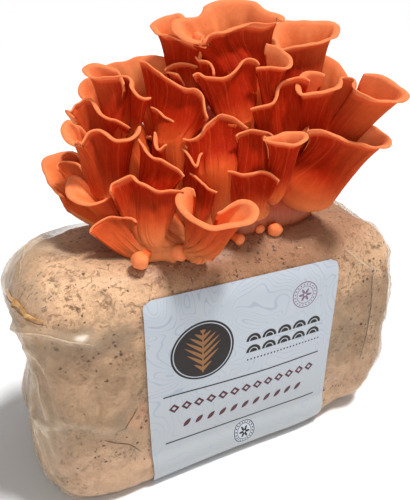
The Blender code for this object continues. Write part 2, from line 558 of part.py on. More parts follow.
SEEN_MUSHROOMS = [
    seen("mushroom_front_cup", 55, 1.1, 12, (0, 129.5, 50), (-16, -30, 147), (6.0, 8.5), [
        (-3.2, 169.2), (-6.3, 170.2), (-10, 169.2), (-13.2, 165.3), (-13.9, 161.4), (-12.1, 156.7),
        (-8.4, 152), (-3.4, 147.9), (2.3, 144.8), (8.7, 143.4), (15.7, 143.7), (23.3, 144.8),
        (30.3, 146.5), (34.6, 149.9), (36.3, 154.7), (34.2, 159.4), (29.7, 162), (24.8, 161.4),
        (19.8, 158.7), (15.5, 155.4), (11.1, 153.3)], bowl=0.7),
    seen("mushroom_front_left_fan", 40, 0.8, 30, (-30, 138, 43), (-28, -28, 147), (8.0, 9.5), [
        (-55, 168), (-54.6, 170), (-53.4, 172.7), (-48, 175.8), (-44, 177.5), (-41.4, 178),
        (-40, 176.4), (-37.8, 174), (-34.5, 172.4), (-30.7, 170.7), (-27, 169), (-23, 168.2),
        (-17, 168.6), (-12, 168.4), (-9.5, 168)], bowl=0.75),
    seen("mushroom_low_left_fan", 45, 0.8, 25, (-37, 129, 45), (-31, -33, 145), (6.0, 8.0), [
        (-70, 140.5), (-68.8, 143.3), (-64.5, 147), (-59.6, 149.8), (-55, 151.3), (-50.4, 151.3),
        (-46, 151), (-42.5, 149.8), (-40.6, 148)], bowl=0.8),
    seen("mushroom_left_cup", 35, 1.2, 5, (-50, 147, 32), (-40, -27, 148), (7.0, 9.0), [
        (-62.7, 166.6), (-65.4, 171.2), (-70, 175), (-74, 177.6), (-77.7, 177.2), (-80.9, 173.1),
        (-81.7, 168.6), (-80.4, 164), (-76.3, 161), (-71.5, 159.7), (-65.8, 159.7), (-60.1, 161.7),
        (-55.7, 165)], bowl=0.7),
    seen("mushroom_left_funnel", 25, 1.0, 14, (-55, 169, 21), (-38, -24, 149), (7.5, 9.0), [
        (-62.8, 199.7), (-66.5, 203.8), (-70.2, 208), (-74.6, 210.9), (-77.9, 210), (-80.1, 206.2),
        (-79.1, 201.5), (-76, 197.9), (-72, 196.4), (-68.7, 199.4), (-65.4, 203.3), (-61.7, 205.3),
        (-58.4, 205.6), (-55.3, 203.8), (-52.3, 201.5), (-48.6, 199.7), (-45, 199.4), (-41.1, 200),
        (-37.8, 202.1), (-35.2, 205), (-34.5, 208)], bowl=0.6),
    seen("mushroom_front_ribbon", 31, 0.8, 25, (-28, 159, 34), (-23, -27, 148), (6.0, 8.0), [
        (-36, 200.8), (-33.3, 196.5), (-31.8, 193.3), (-28.8, 190.6), (-26, 189), (-22, 187),
        (-17.7, 185), (-14, 183), (-11.4, 180.7), (-9.4, 178)]),
    seen("mushroom_centre_fan", 35, 0.8, 35, (32, 160, 30), (39, -13, 150), (5.0, 8.5), [
        (10.9, 178.2), (15.7, 180.4), (20.6, 180.1), (26.7, 179.1), (32.2, 179.5), (37.6, 181.3),
        (41.3, 180.4), (45, 178.2), (48.9, 175)], bowl=0.7),
    seen("mushroom_centre_small", 38, 0.8, 30, (1, 152, 38), (-6, -29, 147), (4.0, 5.5), [
        (-5.5, 179.6), (-2.7, 178), (0, 175.6), (2.8, 172.7), (5, 170), (7.7, 168.4), (11, 167.5)]),
    seen("mushroom_centre_tall", 20, 0.8, 30, (10, 182, 25), (0, -24, 149), (9.0, 12.0), [
        (-9.4, 200.7), (-6.2, 200), (-3.6, 200.5), (-1, 202), (1.7, 204.7), (3.8, 208), (6.4, 210.3),
        (9, 212.6), (11, 214), (13, 214.6), (16.4, 214), (20, 213), (23, 211), (25.8, 209),
        (28.6, 207)]),
    seen("mushroom_right_trumpet", 30, 1.9, 25, (47, 171, 24), (47, -5, 150), (4.5, 6.0), [
        (37.3, 200.9), (40.9, 199.4), (45.7, 198.2), (51.1, 197.4), (56.4, 197.3), (61.1, 198.2),
        (63.6, 200.6), (63, 203.6), (60, 204.7), (55.3, 204.7), (50.7, 203.6),
        (46, 202.1)], closed=True, bowl=0.7),
    seen("mushroom_right_fan", 8, 1.5, 20, (62, 173, -8), (66, 0, 149), (11.0, 27.0), [
        (61.8, 204.7), (65.5, 205.8), (70.2, 205.4), (75.1, 203.8), (83.8, 200.9), (89.5, 199.1),
        (95.6, 197.3), (103.3, 195.5), (109, 195.1), (112.5, 196.7), (113, 199.1), (110.8, 201.9),
        (106.7, 204.7), (100.8, 207.5), (94.2, 208.8), (87.1, 209.4), (79.4, 210), (70.7, 209.7),
        (63.9, 207.7)], closed=True, bowl=0.9),
    seen("mushroom_right_curl", 5, 1.3, 8, (67, 192, -10), (66, -2, 149), (8.0, 12.0), [
        (58, 224.5), (65, 226), (71.3, 227), (77, 228.5), (81, 231.5), (83, 234.5), (86, 233),
        (88, 229), (92, 226), (100, 223.5), (108, 221.8), (115, 221.7), (119.5, 225), (115, 229.5),
        (105, 234.8), (97, 237), (90, 237.5)], bowl=0.7),
    seen("mushroom_right_wave", 10, 0.8, 30, (47, 196, 4), (50, -10, 149), (7.0, 10.0), [
        (29.7, 218), (33, 219), (37.5, 220), (41.6, 220.7), (43.5, 222), (44.5, 225), (45, 228.5),
        (46.4, 231.4), (48.8, 233.6), (52, 234.8), (55, 235.4), (57.7, 235.5), (60.4, 234.8),
        (62.7, 233.6)]),
    seen("mushroom_centre_arc", 20, 0.8, 30, (32, 172, 22), (24, -18, 148), (6.0, 8.5), [
        (21.8, 202.3), (23.4, 204), (26, 205), (29.7, 206), (33.4, 206), (37, 205), (40.3, 204),
        (43, 202.6), (45, 200.5)]),
    seen("mushroom_upper_centre", 8, 0.9, 28, (22, 212, 8), (12, -20, 150), (7.0, 10.0), [
        (-3.2, 236.5), (-0.2, 238), (2.4, 236.3), (5, 235.3), (10, 235), (14, 235.3), (17.5, 236.7),
        (20.4, 239), (22.4, 241), (24.3, 243.4), (26.7, 245), (29, 245.3), (31.7, 244.6),
        (33.7, 242.5)]),
    seen("mushroom_tall_left", 10, 0.8, 30, (-13, 200, 14), (-18, -20, 150), (8.0, 12.0), [
        (-33, 244), (-29.6, 243.4), (-26.7, 241.5), (-22.8, 238.7), (-19.8, 236), (-16.4, 234),
        (-13, 231.4), (-9.3, 229.7), (-5.8, 229), (-2.7, 229), (0.3, 227.5), (2.3, 225), (3, 221),
        (3.5, 217), (5, 213)]),
    seen("mushroom_left_crown", 10, 0.9, 25, (-54, 190, 10), (-36, -16, 150), (7.0, 9.5), [
        (-72.6, 213.2), (-76.7, 217.4), (-73.9, 216.3), (-71.2, 220), (-68.2, 221.4), (-65.2, 223.3),
        (-62.3, 223.6), (-60.4, 221.7), (-59.3, 218.3), (-57.3, 214.9), (-52.3, 212.3), (-48.3, 211.4),
        (-44.3, 209.7), (-40.4, 207.1)], bowl=0.6),
    seen("mushroom_left_inner", 24, 0.8, 30, (-18, 174, 26), (-18, -25, 149), (4.5, 6.0), [
        (-26, 204.5), (-26.3, 199), (-24.5, 194.5), (-22.4, 194.8), (-20.2, 196.7), (-17, 197.5),
        (-13.7, 197.8), (-10.5, 197.5), (-8.4, 197), (-6.8, 195.4)]),
    seen("mushroom_centre_curl", 30, 0.8, 30, (-3, 168, 31), (-9, -27, 148), (4.0, 5.0), [
        (-9.6, 194.8), (-7.5, 192.4), (-5.3, 189), (-3.2, 185.8), (-1.5, 184.5), (-0.5, 187),
        (0.6, 190.8), (1.7, 192)]),
    seen("mushroom_left_small", 15, 0.8, 30, (-20, 186, 18), (-24, -22, 150), (5.0, 7.0), [
        (-27.5, 219), (-23.6, 217), (-20.6, 214.4), (-17, 212.3), (-13.4, 210.3), (-11, 208.7),
        (-9.3, 206.6), (-8.3, 205)]),
    seen("mushroom_upper_left_funnel", 5, 1.3, 22, (-43, 203, 6), (-28, -14, 151), (8.0, 11.0), [
        (-46.5, 239.4), (-49.4, 241), (-53.3, 241.8), (-57.7, 242.3),
        (-61.7, 241.5), (-64.1, 239.7), (-63.2, 237.5), (-60.5, 235.9), (-56.7, 234.9), (-52.7, 235.1),
        (-48.2, 235.4), (-43.7, 235.9), (-39.8, 235.4), (-38.2, 233.2), (-38.4, 230.5), (-36.8, 227.8),
        (-34.1, 225), (-30.8, 223.6), (-27.3, 224.2)], bowl=0.75),
    seen("mushroom_upper_right_small", 4, 1.2, 20, (40, 215, 2), (32, -14, 150), (5.5, 8.0), [
        (32, 240.3), (36, 240.8), (40, 241), (44, 240), (47.5, 240), (50, 241), (51.5, 243),
        (51.3, 245.3), (49.7, 246.9), (47, 247.5), (43.5, 248.3), (40, 250), (37, 252.5)]),
    seen("mushroom_upper_arc", -1, 0.8, 28, (-5, 214, 0), (-6, -14, 151), (6.5, 10.0), [
        (-19.2, 239), (-17.2, 241), (-13.7, 242.7), (-9.7, 243.2), (-5.7, 242.7), (-1.6, 241.5),
        (2.4, 240.4), (5.4, 238.7), (7.4, 236.7), (9, 235.6)]),
    seen("mushroom_top_right", -21, 1.6, 25, (54, 223, -14), (46, -4, 150), (8.0, 13.0), [
        (54.7, 264), (49, 264.4), (44.6, 263.4), (41.4, 260.8), (40, 257), (40.3, 252.8),
        (43, 250.2), (48.5, 250), (55.7, 251.4), (61.1, 252.4), (66.5, 253.4), (70.8, 254.6),
        (73.9, 256), (75.6, 258.3), (75.5, 260.8), (74, 263), (70.9, 264), (65.5, 263.9),
        (60.2, 263.8)], closed=True, bowl=0.7),
    seen("mushroom_top_centre", -10, 1.5, 22, (27.5, 228, -8), (14, -12, 152), (9.0, 14.5), [
        (12.8, 258), (19.8, 260.3), (27.3, 262.5), (34.3, 262.8), (40, 262.6), (44.2, 263.6),
        (45, 266.2), (40.5, 268), (34.5, 269.8), (29.1, 273.3), (22.7, 274), (14.2, 274),
        (7.3, 273), (3.6, 270.1), (0.3, 266.7), (-6.1, 266), (-11.5, 264.8), (-13.7, 261.8),
        (-11.7, 258.3), (-7.4, 255.3), (-1.9, 253.7), (3, 254.2),
        (5.7, 256.8)], closed=True, bowl=0.75),
    seen("mushroom_top_left", -10, 1.5, 22, (-5, 228, -8), (-6, -12, 152), (7.0, 10.0), [
        (-8, 266), (-15, 267), (-20, 265.5), (-24, 263.5), (-25, 261.5), (-22, 258), (-18.2, 257),
        (-13.3, 256), (-8.4, 254.8), (-4.5, 253.4), (-1, 252), (2.4, 251),
        (5, 252)], closed=True, bowl=0.7),
    seen("mushroom_upper_small", -2, 0.8, 28, (6, 224, 0), (6, -16, 151), (4.5, 6.0), [
        (-1.6, 246.3), (0, 244.8), (2.3, 244.4), (4.8, 244), (7, 242), (8, 240), (8.4, 237)]),
    seen("mushroom_far_left", 0, 0.9, 10, (-74, 160, 12), (-46, -14, 148), (7.0, 8.0), [
        (-75, 193), (-83.4, 192.5), (-89, 190.5), (-93.5, 188), (-95, 185), (-94, 180), (-93, 175),
        (-90, 169.5), (-86, 165)], bowl=0.8),
    seen("mushroom_back_high_right", -30, 0.6, 20, (70, 208, -24), (58, 2, 150), (5.5, 6.5), [
        (85, 232.1), (82, 238.1), (77.5, 243.1), (72.2, 246), (67.1, 247), (62.3, 246), (59.2, 242.8),
        (58.4, 239.1)], bowl=0.6),
    seen("mushroom_back_left_peek", -16, 0.9, 20, (-50, 204, -14), (-32, -4, 150), (5.0, 5.5), [
        (-58, 236), (-64, 234), (-67.5, 231), (-68, 227), (-65, 223), (-60, 220)]),
    seen("mushroom_upper_left_back", -22, 0.6, 20, (-26, 214, -12), (-18, -8, 151), (5.5, 7.5), [
        (-11.5, 240.7), (-15.9, 244.9), (-21.3, 246.5), (-26.9, 247), (-31.9, 246.3), (-36.9, 244.9),
        (-42.6, 243.6), (-48.2, 242.6), (-52.2, 241.3), (-54.7, 238.1)], bowl=0.6),
    seen("mushroom_far_left_small", 8, 0.8, 20, (-70, 172, 10), (-46, -10, 149), (3.0, 3.5), [
        (-82.6, 187.3), (-82.2, 190.6), (-79, 192.8), (-74.8, 192.5), (-71.5, 189.7), (-69.5, 185.7)]),
    seen("mushroom_far_left_inner", 13, 0.8, 20, (-70, 166, 14), (-44, -12, 148), (3.0, 3.5), [
        (-85.6, 182), (-85.5, 185.4), (-82, 187.3), (-77.2, 186.9), (-72.6, 184.5), (-70.1, 180.1)]),
]


# Mushrooms whose grown form folds over itself at a tight curl: their own form is cut from the others too
CURLED_OVER = ["mushroom_left_cup", "mushroom_left_funnel", "mushroom_right_curl", "mushroom_right_fan"]


def hidden(name, direction, reach, height, width, flare, foot, radii):
    """A mushroom on the side that the view hides: a fan that faces a direction from the cluster."""
    heading = math.radians(direction)
    out = np.array([math.cos(heading), math.sin(heading), 0.0])
    side = np.array([-out[1], out[0], 0.0])
    foot = np.array(foot, dtype=float)
    centre = foot * np.array([1.0, 1.0, 0.0]) + UP * height + out * (reach - width * 0.45)
    knots = []
    for turn in np.radians(np.linspace(-HIDDEN_HALF_TURN, HIDDEN_HALF_TURN, HIDDEN_KNOTS)):
        ripple = 1.0 + 0.07 * math.sin(4.0 * turn + direction)
        rise = 2.6 * math.sin(3.0 * turn + direction) - 3.0 * math.cos(turn)
        knot = centre + out * width * 0.5 * ripple * math.cos(turn)
        knots.append(knot + side * width * 0.56 * ripple * math.sin(turn) + UP * rise)
    shape = {"name": name, "flare": flare, "foot": foot, "radii": radii, "knots": np.array(knots),
             "closed": False, "bowl": PLAIN_BOWL, "belly": PLAIN_BELLY}
    shape["waist"] = foot * 0.55 + (centre - out * width * 0.1) * 0.45
    return shape


HIDDEN_MUSHROOMS = [
    hidden("mushroom_back_low_right", 48, 44, 180, 52, 14, (54, 2, 148), (6.0, 7.5)),
    hidden("mushroom_back_low_centre", 88, 44, 174, 54, 12, (20, 6, 148), (6.0, 7.5)),
    hidden("mushroom_back_low_left", 130, 44, 178, 50, 14, (-14, 4, 148), (6.0, 7.5)),
    hidden("mushroom_back_mid_right", 62, 38, 208, 52, 15, (46, 2, 150), (6.5, 8.0)),
    hidden("mushroom_back_mid_left", 108, 38, 205, 54, 14, (4, 0, 150), (6.5, 8.0)),
    hidden("mushroom_back_high_left", 98, 32, 236, 50, 18, (14, -4, 151), (6.0, 7.5)),
]

# Buds low on the front: foot, tip, half width of the stem and of the cap
BUDS = {
    "mushroom_bud_left": ((-40, -27, 151), (-57, -36, 150), 3.4, 5.0),
    "mushroom_bud_front": ((-25, -29, 151), (-30, -41, 148), 3.4, 4.6),
    "mushroom_bud_right": ((5, -29, 151), (11, -38, 148), 2.8, 3.6),
    "mushroom_bud_small": ((26, -24, 151), (27, -32, 149.5), 2.2, 3.0),
    "mushroom_bud_under_right": ((38, -24, 151), (34, -37, 149), 2.6, 4.4),
}


def bud_solid(foot, tip, stem_radius, cap_radius):
    """Rings along a bud, from its foot over the flare of its cap to its rounded tip."""
    foot = np.array(foot, dtype=float)
    growth = np.array(tip, dtype=float) - foot
    side = unit(np.cross(growth, UP))
    front = unit(np.cross(growth, side))
    rings = [(0.0, stem_radius), (0.45, stem_radius), (0.75, cap_radius), (0.92, cap_radius * 0.9),
             (1.0, cap_radius * 0.45)]
    points = []
    for share, radius in rings:
        for step in range(BUD_SIDES):
            angle = 2.0 * math.pi * step / BUD_SIDES
            spoke = side * math.cos(angle) + front * math.sin(angle)
            points.append(foot + growth * share + spoke * radius)
    faces = [list(reversed(range(BUD_SIDES)))]
    for ring in range(len(rings) - 1):
        for index in range(BUD_SIDES):
            faces.append(ring_face(ring, index, BUD_SIDES, False))
    top = (len(rings) - 1) * BUD_SIDES
    faces.append(list(range(top, top + BUD_SIDES)))
    return np.array(points), faces


# The knot of stem bases: x, y, half length, half width of its section at each height
BASE_SECTIONS = [
    (138.0, 16.0, -12.0, 50.0, 12.0),
    (146.5, 17.0, -12.0, 58.0, 17.0),
    (154.0, 17.0, -11.0, 60.0, 19.0),
    (168.0, 15.0, -9.0, 52.0, 19.0),
    (184.0, 12.0, -7.0, 42.0, 17.0),
    (200.0, 11.0, -6.0, 32.0, 15.0),
    (216.0, 12.0, -4.0, 20.0, 11.0),
    (224.0, 13.0, -4.0, 9.0, 5.0),
]


def make_cluster_base(material):
    points = []
    for height, x, y, half_length, half_width in BASE_SECTIONS:
        for step in range(BASE_SIDES):
            angle = 2.0 * math.pi * step / BASE_SIDES
            lump = 1.0
            if height > BLOCK_HEIGHT + FILM_THICKNESS:
                lump += 0.07 * math.sin(3.0 * angle + height / 9.0) + 0.05 * math.sin(7.0 * angle)
            points.append([x + half_length * lump * math.cos(angle),
                           y + half_width * lump * math.sin(angle), height])
    faces = [list(reversed(range(BASE_SIDES)))]
    for ring in range(len(BASE_SECTIONS) - 1):
        for step in range(BASE_SIDES):
            faces.append(ring_face(ring, step, BASE_SIDES, False))
    top = (len(BASE_SECTIONS) - 1) * BASE_SIDES
    faces.append(list(range(top, top + BASE_SIDES)))
    points = np.array(points)
    return make_object("cluster_base", points, faces, material), points, faces


def build():
    for obj in list(bpy.data.objects):
        bpy.data.objects.remove(obj)
    substrate = make_material("substrate", (0.60, 0.42, 0.27), 0.85)
    film = make_material("film", (0.86, 0.84, 0.80), 0.18, alpha=0.25)
    paper = make_material("label_paper", (0.62, 0.67, 0.74), 0.5)
    flesh = make_material("mushroom_flesh", (0.80, 0.26, 0.09), 0.6)
    pale = make_material("stem_flesh", (0.62, 0.30, 0.15), 0.65)

    make_block(substrate)
    make_film(film)
    make_label(paper)

    film_points, film_faces = block_shell(2.0 * TOUCH_GAP + FILM_THICKNESS)
    block_points, block_faces = block_shell(TOUCH_GAP)
    film_form = make_object("cutter", film_points, film_faces, film)
    block_form = make_object("cutter", block_points, block_faces, film)
    film_span = (film_points.min(axis=0), film_points.max(axis=0))

    base, base_points, base_faces = make_cluster_base(pale)
    cut_away(base, [block_form], tidy=False)
    taken = [(make_object("cutter", grown(base_points, base_faces, CROWDED_GAP), base_faces, film),
              (base_points.min(axis=0), base_points.max(axis=0))), (film_form, film_span)]
    solids = {shape["name"]: mushroom_solid(shape) for shape in SEEN_MUSHROOMS + HIDDEN_MUSHROOMS}
    solids.update({name: bud_solid(*bud) for name, bud in BUDS.items()})
    for name, (points, faces) in solids.items():
        span = (points.min(axis=0), points.max(axis=0))
        mushroom = make_object(name, points, faces, flesh)
        cut_away(mushroom, [form for form, form_span in taken if boxes_meet(span, form_span)])
        taken.append((make_object("cutter", grown(points, faces, CROWDED_GAP), faces, flesh), span))
        if name in CURLED_OVER:
            taken.append((make_object("cutter", points, faces, flesh), span))
    for form, _ in taken:
        remove_object(form)
    remove_object(block_form)


build()
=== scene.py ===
# Oyster mushroom grow kit: a film-wrapped block of straw and mycelium with a paper label on its front, and a
# cluster of orange-pink oyster mushrooms that grows out of a cut in the film on top.
# Lengths are in millimetres, apart from those that nodes take, which are in metres.
# +X runs to the right along the front, +Y to the back, +Z up.
import math

import bmesh
import bpy
import numpy as np
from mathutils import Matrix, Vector, noise


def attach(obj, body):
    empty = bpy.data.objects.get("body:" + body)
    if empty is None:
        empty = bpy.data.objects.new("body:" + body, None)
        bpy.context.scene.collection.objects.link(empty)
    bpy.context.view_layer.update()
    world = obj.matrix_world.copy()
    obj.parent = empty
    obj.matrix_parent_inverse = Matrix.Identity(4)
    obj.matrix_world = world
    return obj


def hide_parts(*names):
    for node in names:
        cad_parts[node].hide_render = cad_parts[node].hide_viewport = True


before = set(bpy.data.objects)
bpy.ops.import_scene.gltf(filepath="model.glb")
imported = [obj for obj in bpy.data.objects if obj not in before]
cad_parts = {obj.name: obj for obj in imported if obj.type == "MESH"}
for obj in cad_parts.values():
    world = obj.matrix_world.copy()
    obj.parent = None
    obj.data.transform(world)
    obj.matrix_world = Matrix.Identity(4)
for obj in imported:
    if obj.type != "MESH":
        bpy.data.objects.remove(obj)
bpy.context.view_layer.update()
millimetre = 0.001
up = np.array([0.0, 0.0, 1.0])


def unit(vectors):
    return vectors / np.maximum(np.linalg.norm(vectors, axis=-1, keepdims=True), 1e-9)


def smoothStep(low, high, values):
    share = np.clip((values - low) / (high - low), 0.0, 1.0)
    return share * share * (3.0 - 2.0 * share)


def lumps(points, size, seed):
    # smooth noise from -1 to 1 at the points, with lumps of the given size
    shift = Vector((seed * 17.3, seed * 5.1, seed * 9.7))
    return np.array([noise.noise(Vector(point) / size + shift) for point in points])


def tint(red, green, blue, alpha=1.0):
    # an sRGB colour from 0 to 255 as Blender's linear one
    linear = [value / 255.0 / 12.92 if value <= 10.3 else ((value / 255.0 + 0.055) / 1.055) ** 2.4
              for value in (red, green, blue)]
    return (*linear, alpha)


def meshFrom(name, points, faces):
    mesh = bpy.data.meshes.new(name)
    mesh.from_pydata((np.asarray(points) * millimetre).tolist(), [], faces)
    mesh.shade_smooth()
    return mesh


def addObject(name, mesh, *materials):
    obj = bpy.data.objects.new(name, mesh)
    bpy.context.scene.collection.objects.link(obj)
    for material in materials:
        mesh.materials.append(material)
    return obj


def addAttribute(mesh, name, values):
    attribute = mesh.attributes.new(name, "FLOAT", "POINT")
    attribute.data.foreach_set("value", np.asarray(values, dtype=np.float32))


def gridFaces(rowCount, columnCount, closed=False):
    # quads between rows of points; the faces point along over x up, where over runs along a row
    quads = []
    columns = columnCount if closed else columnCount - 1
    for row in range(rowCount - 1):
        for column in range(columns):
            after = (column + 1) % columnCount
            low = row * columnCount
            high = low + columnCount
            quads.append([low + column, low + after, high + after, high + column])
    return quads


def tubeFaces(rowCount, around):
    # a tube of quads, closed at both ends
    last = (rowCount - 1) * around
    ends = [list(reversed(range(around))), list(range(last, last + around))]
    return gridFaces(rowCount, around, True) + ends


def faceOutwards(mesh):
    # neighbouring faces of a closed mesh turn the same way, out of it
    shell = bmesh.new()
    shell.from_mesh(mesh)
    bmesh.ops.recalc_face_normals(shell, faces=shell.faces)
    shell.to_mesh(mesh)
    shell.free()


class Wiring:
    # short ways to add and join the nodes of one tree
    def __init__(self, tree):
        self.tree = tree

    def feed(self, socket, value):
        if isinstance(value, bpy.types.NodeSocket):
            self.tree.links.new(value, socket)
        else:
            socket.default_value = value

    def node(self, kind, feeds=None, **settings):
        made = self.tree.nodes.new(kind)
        for key, value in settings.items():
            setattr(made, key, value)
        self.fill(made, feeds or {})
        return made

    def fill(self, node, feeds):
        for key, value in feeds.items():
            self.feed(node.inputs[key], value)

    def maths(self, operation, *values, clamp=False):
        made = self.node("ShaderNodeMath", operation=operation, use_clamp=clamp)
        self.fill(made, dict(enumerate(values)))
        return made.outputs[0]

    def times(self, *values):
        return self.maths("MULTIPLY", *values)

    def plus(self, *values):
        return self.maths("ADD", *values)

    def minus(self, *values):
        return self.maths("SUBTRACT", *values)

    def together(self, *values):
        return self.node("ShaderNodeCombineXYZ", dict(enumerate(values))).outputs[0]

    def parts(self, vector):
        return self.node("ShaderNodeSeparateXYZ", {0: vector}).outputs

    def step(self, value, low, high, start=0.0, end=1.0):
        # a smooth step from start to end while the value goes from low to high
        made = self.node("ShaderNodeMapRange", interpolation_type="SMOOTHSTEP")
        self.fill(made, dict(enumerate((value, low, high, start, end))))
        return made.outputs[0]

    def mix(self, factor, first, second, blend="MIX"):
        # the colour sockets of a Mix node are numbers 6 and 7, and its colour comes out of number 2
        feeds = {0: factor, 6: first, 7: second}
        return self.node("ShaderNodeMix", feeds, data_type="RGBA", blend_type=blend).outputs[2]

    def noise(self, vector, scale, detail=3.0, roughness=0.55, distortion=0.0):
        feeds = {"Vector": vector, "Scale": scale, "Detail": detail, "Roughness": roughness,
                 "Distortion": distortion}
        return self.node("ShaderNodeTexNoise", feeds).outputs[0]

    def stretched(self, vector, scale, turn=(0.0, 0.0, 0.0)):
        feeds = {"Vector": vector, "Scale": scale, "Rotation": turn}
        return self.node("ShaderNodeMapping", feeds).outputs[0]

    def attribute(self, name):
        return self.node("ShaderNodeAttribute", attribute_name=name).outputs["Fac"]

    def bump(self, height, strength, distance):
        feeds = {"Height": height, "Strength": strength, "Distance": distance}
        return self.node("ShaderNodeBump", feeds).outputs[0]


def newMaterial(name):
    # the material, its shader, a wiring for its nodes and its Object coordinates
    material = bpy.data.materials.new(name)
    material.use_nodes = True
    wiring = Wiring(material.node_tree)
    shader = material.node_tree.nodes["Principled BSDF"]
    place = wiring.node("ShaderNodeTexCoord").outputs["Object"]
    return material, shader, wiring, place


def twoToneMaterial(name, colours, scale, finish):
    # two colours that run into each other in small blotches
    material, shader, wiring, place = newMaterial(name)
    first, second = colours
    colour = wiring.mix(wiring.step(wiring.noise(place, scale), 0.4, 0.6), tint(*first), tint(*second))
    wiring.fill(shader, {"Base Color": colour, **finish})
    return material


def newTree(name, sizes):
    # a tree with inputs for its sizes, its seed and the material of what it makes
    tree = bpy.data.node_groups.new(name, "GeometryNodeTree")
    tree.is_modifier = True
    kinds = {"Geometry": "Geometry", **{size: "Float" for size in sizes}, "Seed": "Int", "Finish": "Material"}
    for label, kind in kinds.items():
        tree.interface.new_socket(label, in_out="INPUT", socket_type="NodeSocket" + kind)
    tree.interface.new_socket("Geometry", in_out="OUTPUT", socket_type="NodeSocketGeometry")
    wiring = Wiring(tree)
    return tree, wiring, wiring.node("NodeGroupInput").outputs


def endTree(wiring, geometry, finish):
    # the export drops instances, so they are made real before the material is set
    real = wiring.node("GeometryNodeRealizeInstances", {"Geometry": geometry}).outputs[0]
    finished = wiring.node("GeometryNodeSetMaterial", {"Geometry": real, "Material": finish}).outputs[0]
    wiring.feed(wiring.node("NodeGroupOutput").inputs[0], finished)


# The place that the cluster is seen from, and its turn. Rims are drawn on an upright board that faces it and
# goes through the Z axis.
board = {"eye": np.array([-125.0, -279.0, 274.0]), "eyeDistance": 305.7, "yaw": math.radians(24.8)}
boardRight = np.array([math.cos(board["yaw"]), -math.sin(board["yaw"]), 0.0])


def onBoard(across, height, nearer):
    # a point of the board, moved along its line of sight nearer to the eye
    boardPoint = boardRight * across + up * height
    return board["eye"] + (boardPoint - board["eye"]) * (1.0 - nearer / board["eyeDistance"])


capStyle = {
    "thickness": 1.2,
    "lipRadius": 3.6,          # the largest radius that the lip rolls with, and how far round it rolls
    "lipTurn": math.radians(75.0),
    "lipSteps": 6,
    "lipReach": 0.8,           # how much of the lip's reach the cap gives up, so that the rim stays in place
    "lipShare": 0.028,         # the largest radius of a small cap's lip, by the length of its rim
    "lipRoom": 0.35,           # and where the rim turns in, by the radius of the bend
    "edgeSteps": 3,
    "stemRows": 11,
    "capRows": 22,
    "gillSpacing": 1.15,
    "columnsPerGill": 2,
    "openTurn": math.radians(77.0),     # how far round its stem an open cap reaches, to each side
    "rippleHeight": 0.6,
    "rippleLengths": (12.0, 19.0, 31.0),
    "foldDepth": 0.3,
    "foldWidth": 13.0,
    "funnelFloor": 0.15,       # where the hollow of a closed cap ends, from its waist to its rim
    "stemShare": 0.35,         # how much of the rise from foot to rim belongs to the stem
    "stemPull": 8.0,
    "stemSwell": 0.6,
    "rootSpread": 0.55,        # a closed cap's stem: the middle of its wall and half the wall, by its radius
    "rootWall": 0.45,
    "rimTilt": 28.0,
    "rimTiltRise": 2.0,        # more tilt where the rim is high
    "rimTiltRange": (-20.0, 72.0),
    "leavePull": 0.34,         # how far a cap keeps its way at the waist and at the rim, by its reach
    "arrivePull": 0.27,
    "budSides": 48,
}


def smoothCurve(knots, closed, steps=14):
    # a smooth curve through the knots, in small steps; a closed one doesn't repeat its first point
    if closed:
        padded = np.vstack([knots[-1], knots, knots[0], knots[1]])
    else:
        padded = np.vstack([2.0 * knots[0] - knots[1], knots, 2.0 * knots[-1] - knots[-2]])
    fine = []
    for index in range(1, len(padded) - 2):
        before, start, end, after = padded[index - 1:index + 3]
        for t in np.linspace(0.0, 1.0, steps, endpoint=False):
            fine.append(0.5 * (2.0 * start + (end - before) * t
                               + (2.0 * before - 5.0 * start + 4.0 * end - after) * t * t
                               + (3.0 * start - before - 3.0 * end + after) * t * t * t))
    fine.append(padded[-2])
    return np.array(fine)


def evenPoints(curve, count, closed):
    # points at even steps along a curve, and its length
    lengths = np.concatenate([[0.0], np.cumsum(np.linalg.norm(np.diff(curve, axis=0), axis=1))])
    even = np.linspace(0.0, lengths[-1], count, endpoint=not closed)
    return np.stack([np.interp(even, lengths, curve[:, axis]) for axis in range(3)], axis=1), lengths[-1]


def curveBetween(start, startPull, end, endPull, t):
    # a cubic curve which leaves along startPull and arrives along endPull
    return ((1.0 - t) ** 3 * start + 3.0 * (1.0 - t) ** 2 * t * (start + startPull)
            + 3.0 * (1.0 - t) * t ** 2 * (end - endPull) + t ** 3 * end)


def rippled(rim, rimLength, closed, random):
    # small waves along a rim, up and down
    along = np.linspace(0.0, rimLength, len(rim), endpoint=not closed)
    rise = np.zeros(len(rim))
    for length in capStyle["rippleLengths"]:
        waves = max(round(rimLength / length), 1) if closed else rimLength / length
        height = random.uniform(0.35, 0.75)
        rise += height * np.sin(2.0 * math.pi * waves * along / rimLength + random.uniform(0.0, 6.3))
    if not closed:
        rise *= np.sin(np.linspace(0.0, math.pi, len(rim))) ** 0.5
    return rim + up * rise[:, None] * capStyle["rippleHeight"] * 0.6


def sheetDirections(rows, closed):
    # at each point of a sheet, the way out on the gill side and the way to the rim
    along = np.gradient(rows, axis=0)
    if closed:
        over = np.roll(rows, -1, axis=1) - np.roll(rows, 1, axis=1)
    else:
        over = np.gradient(rows, axis=1)
    return unit(np.cross(over, along)), unit(along)


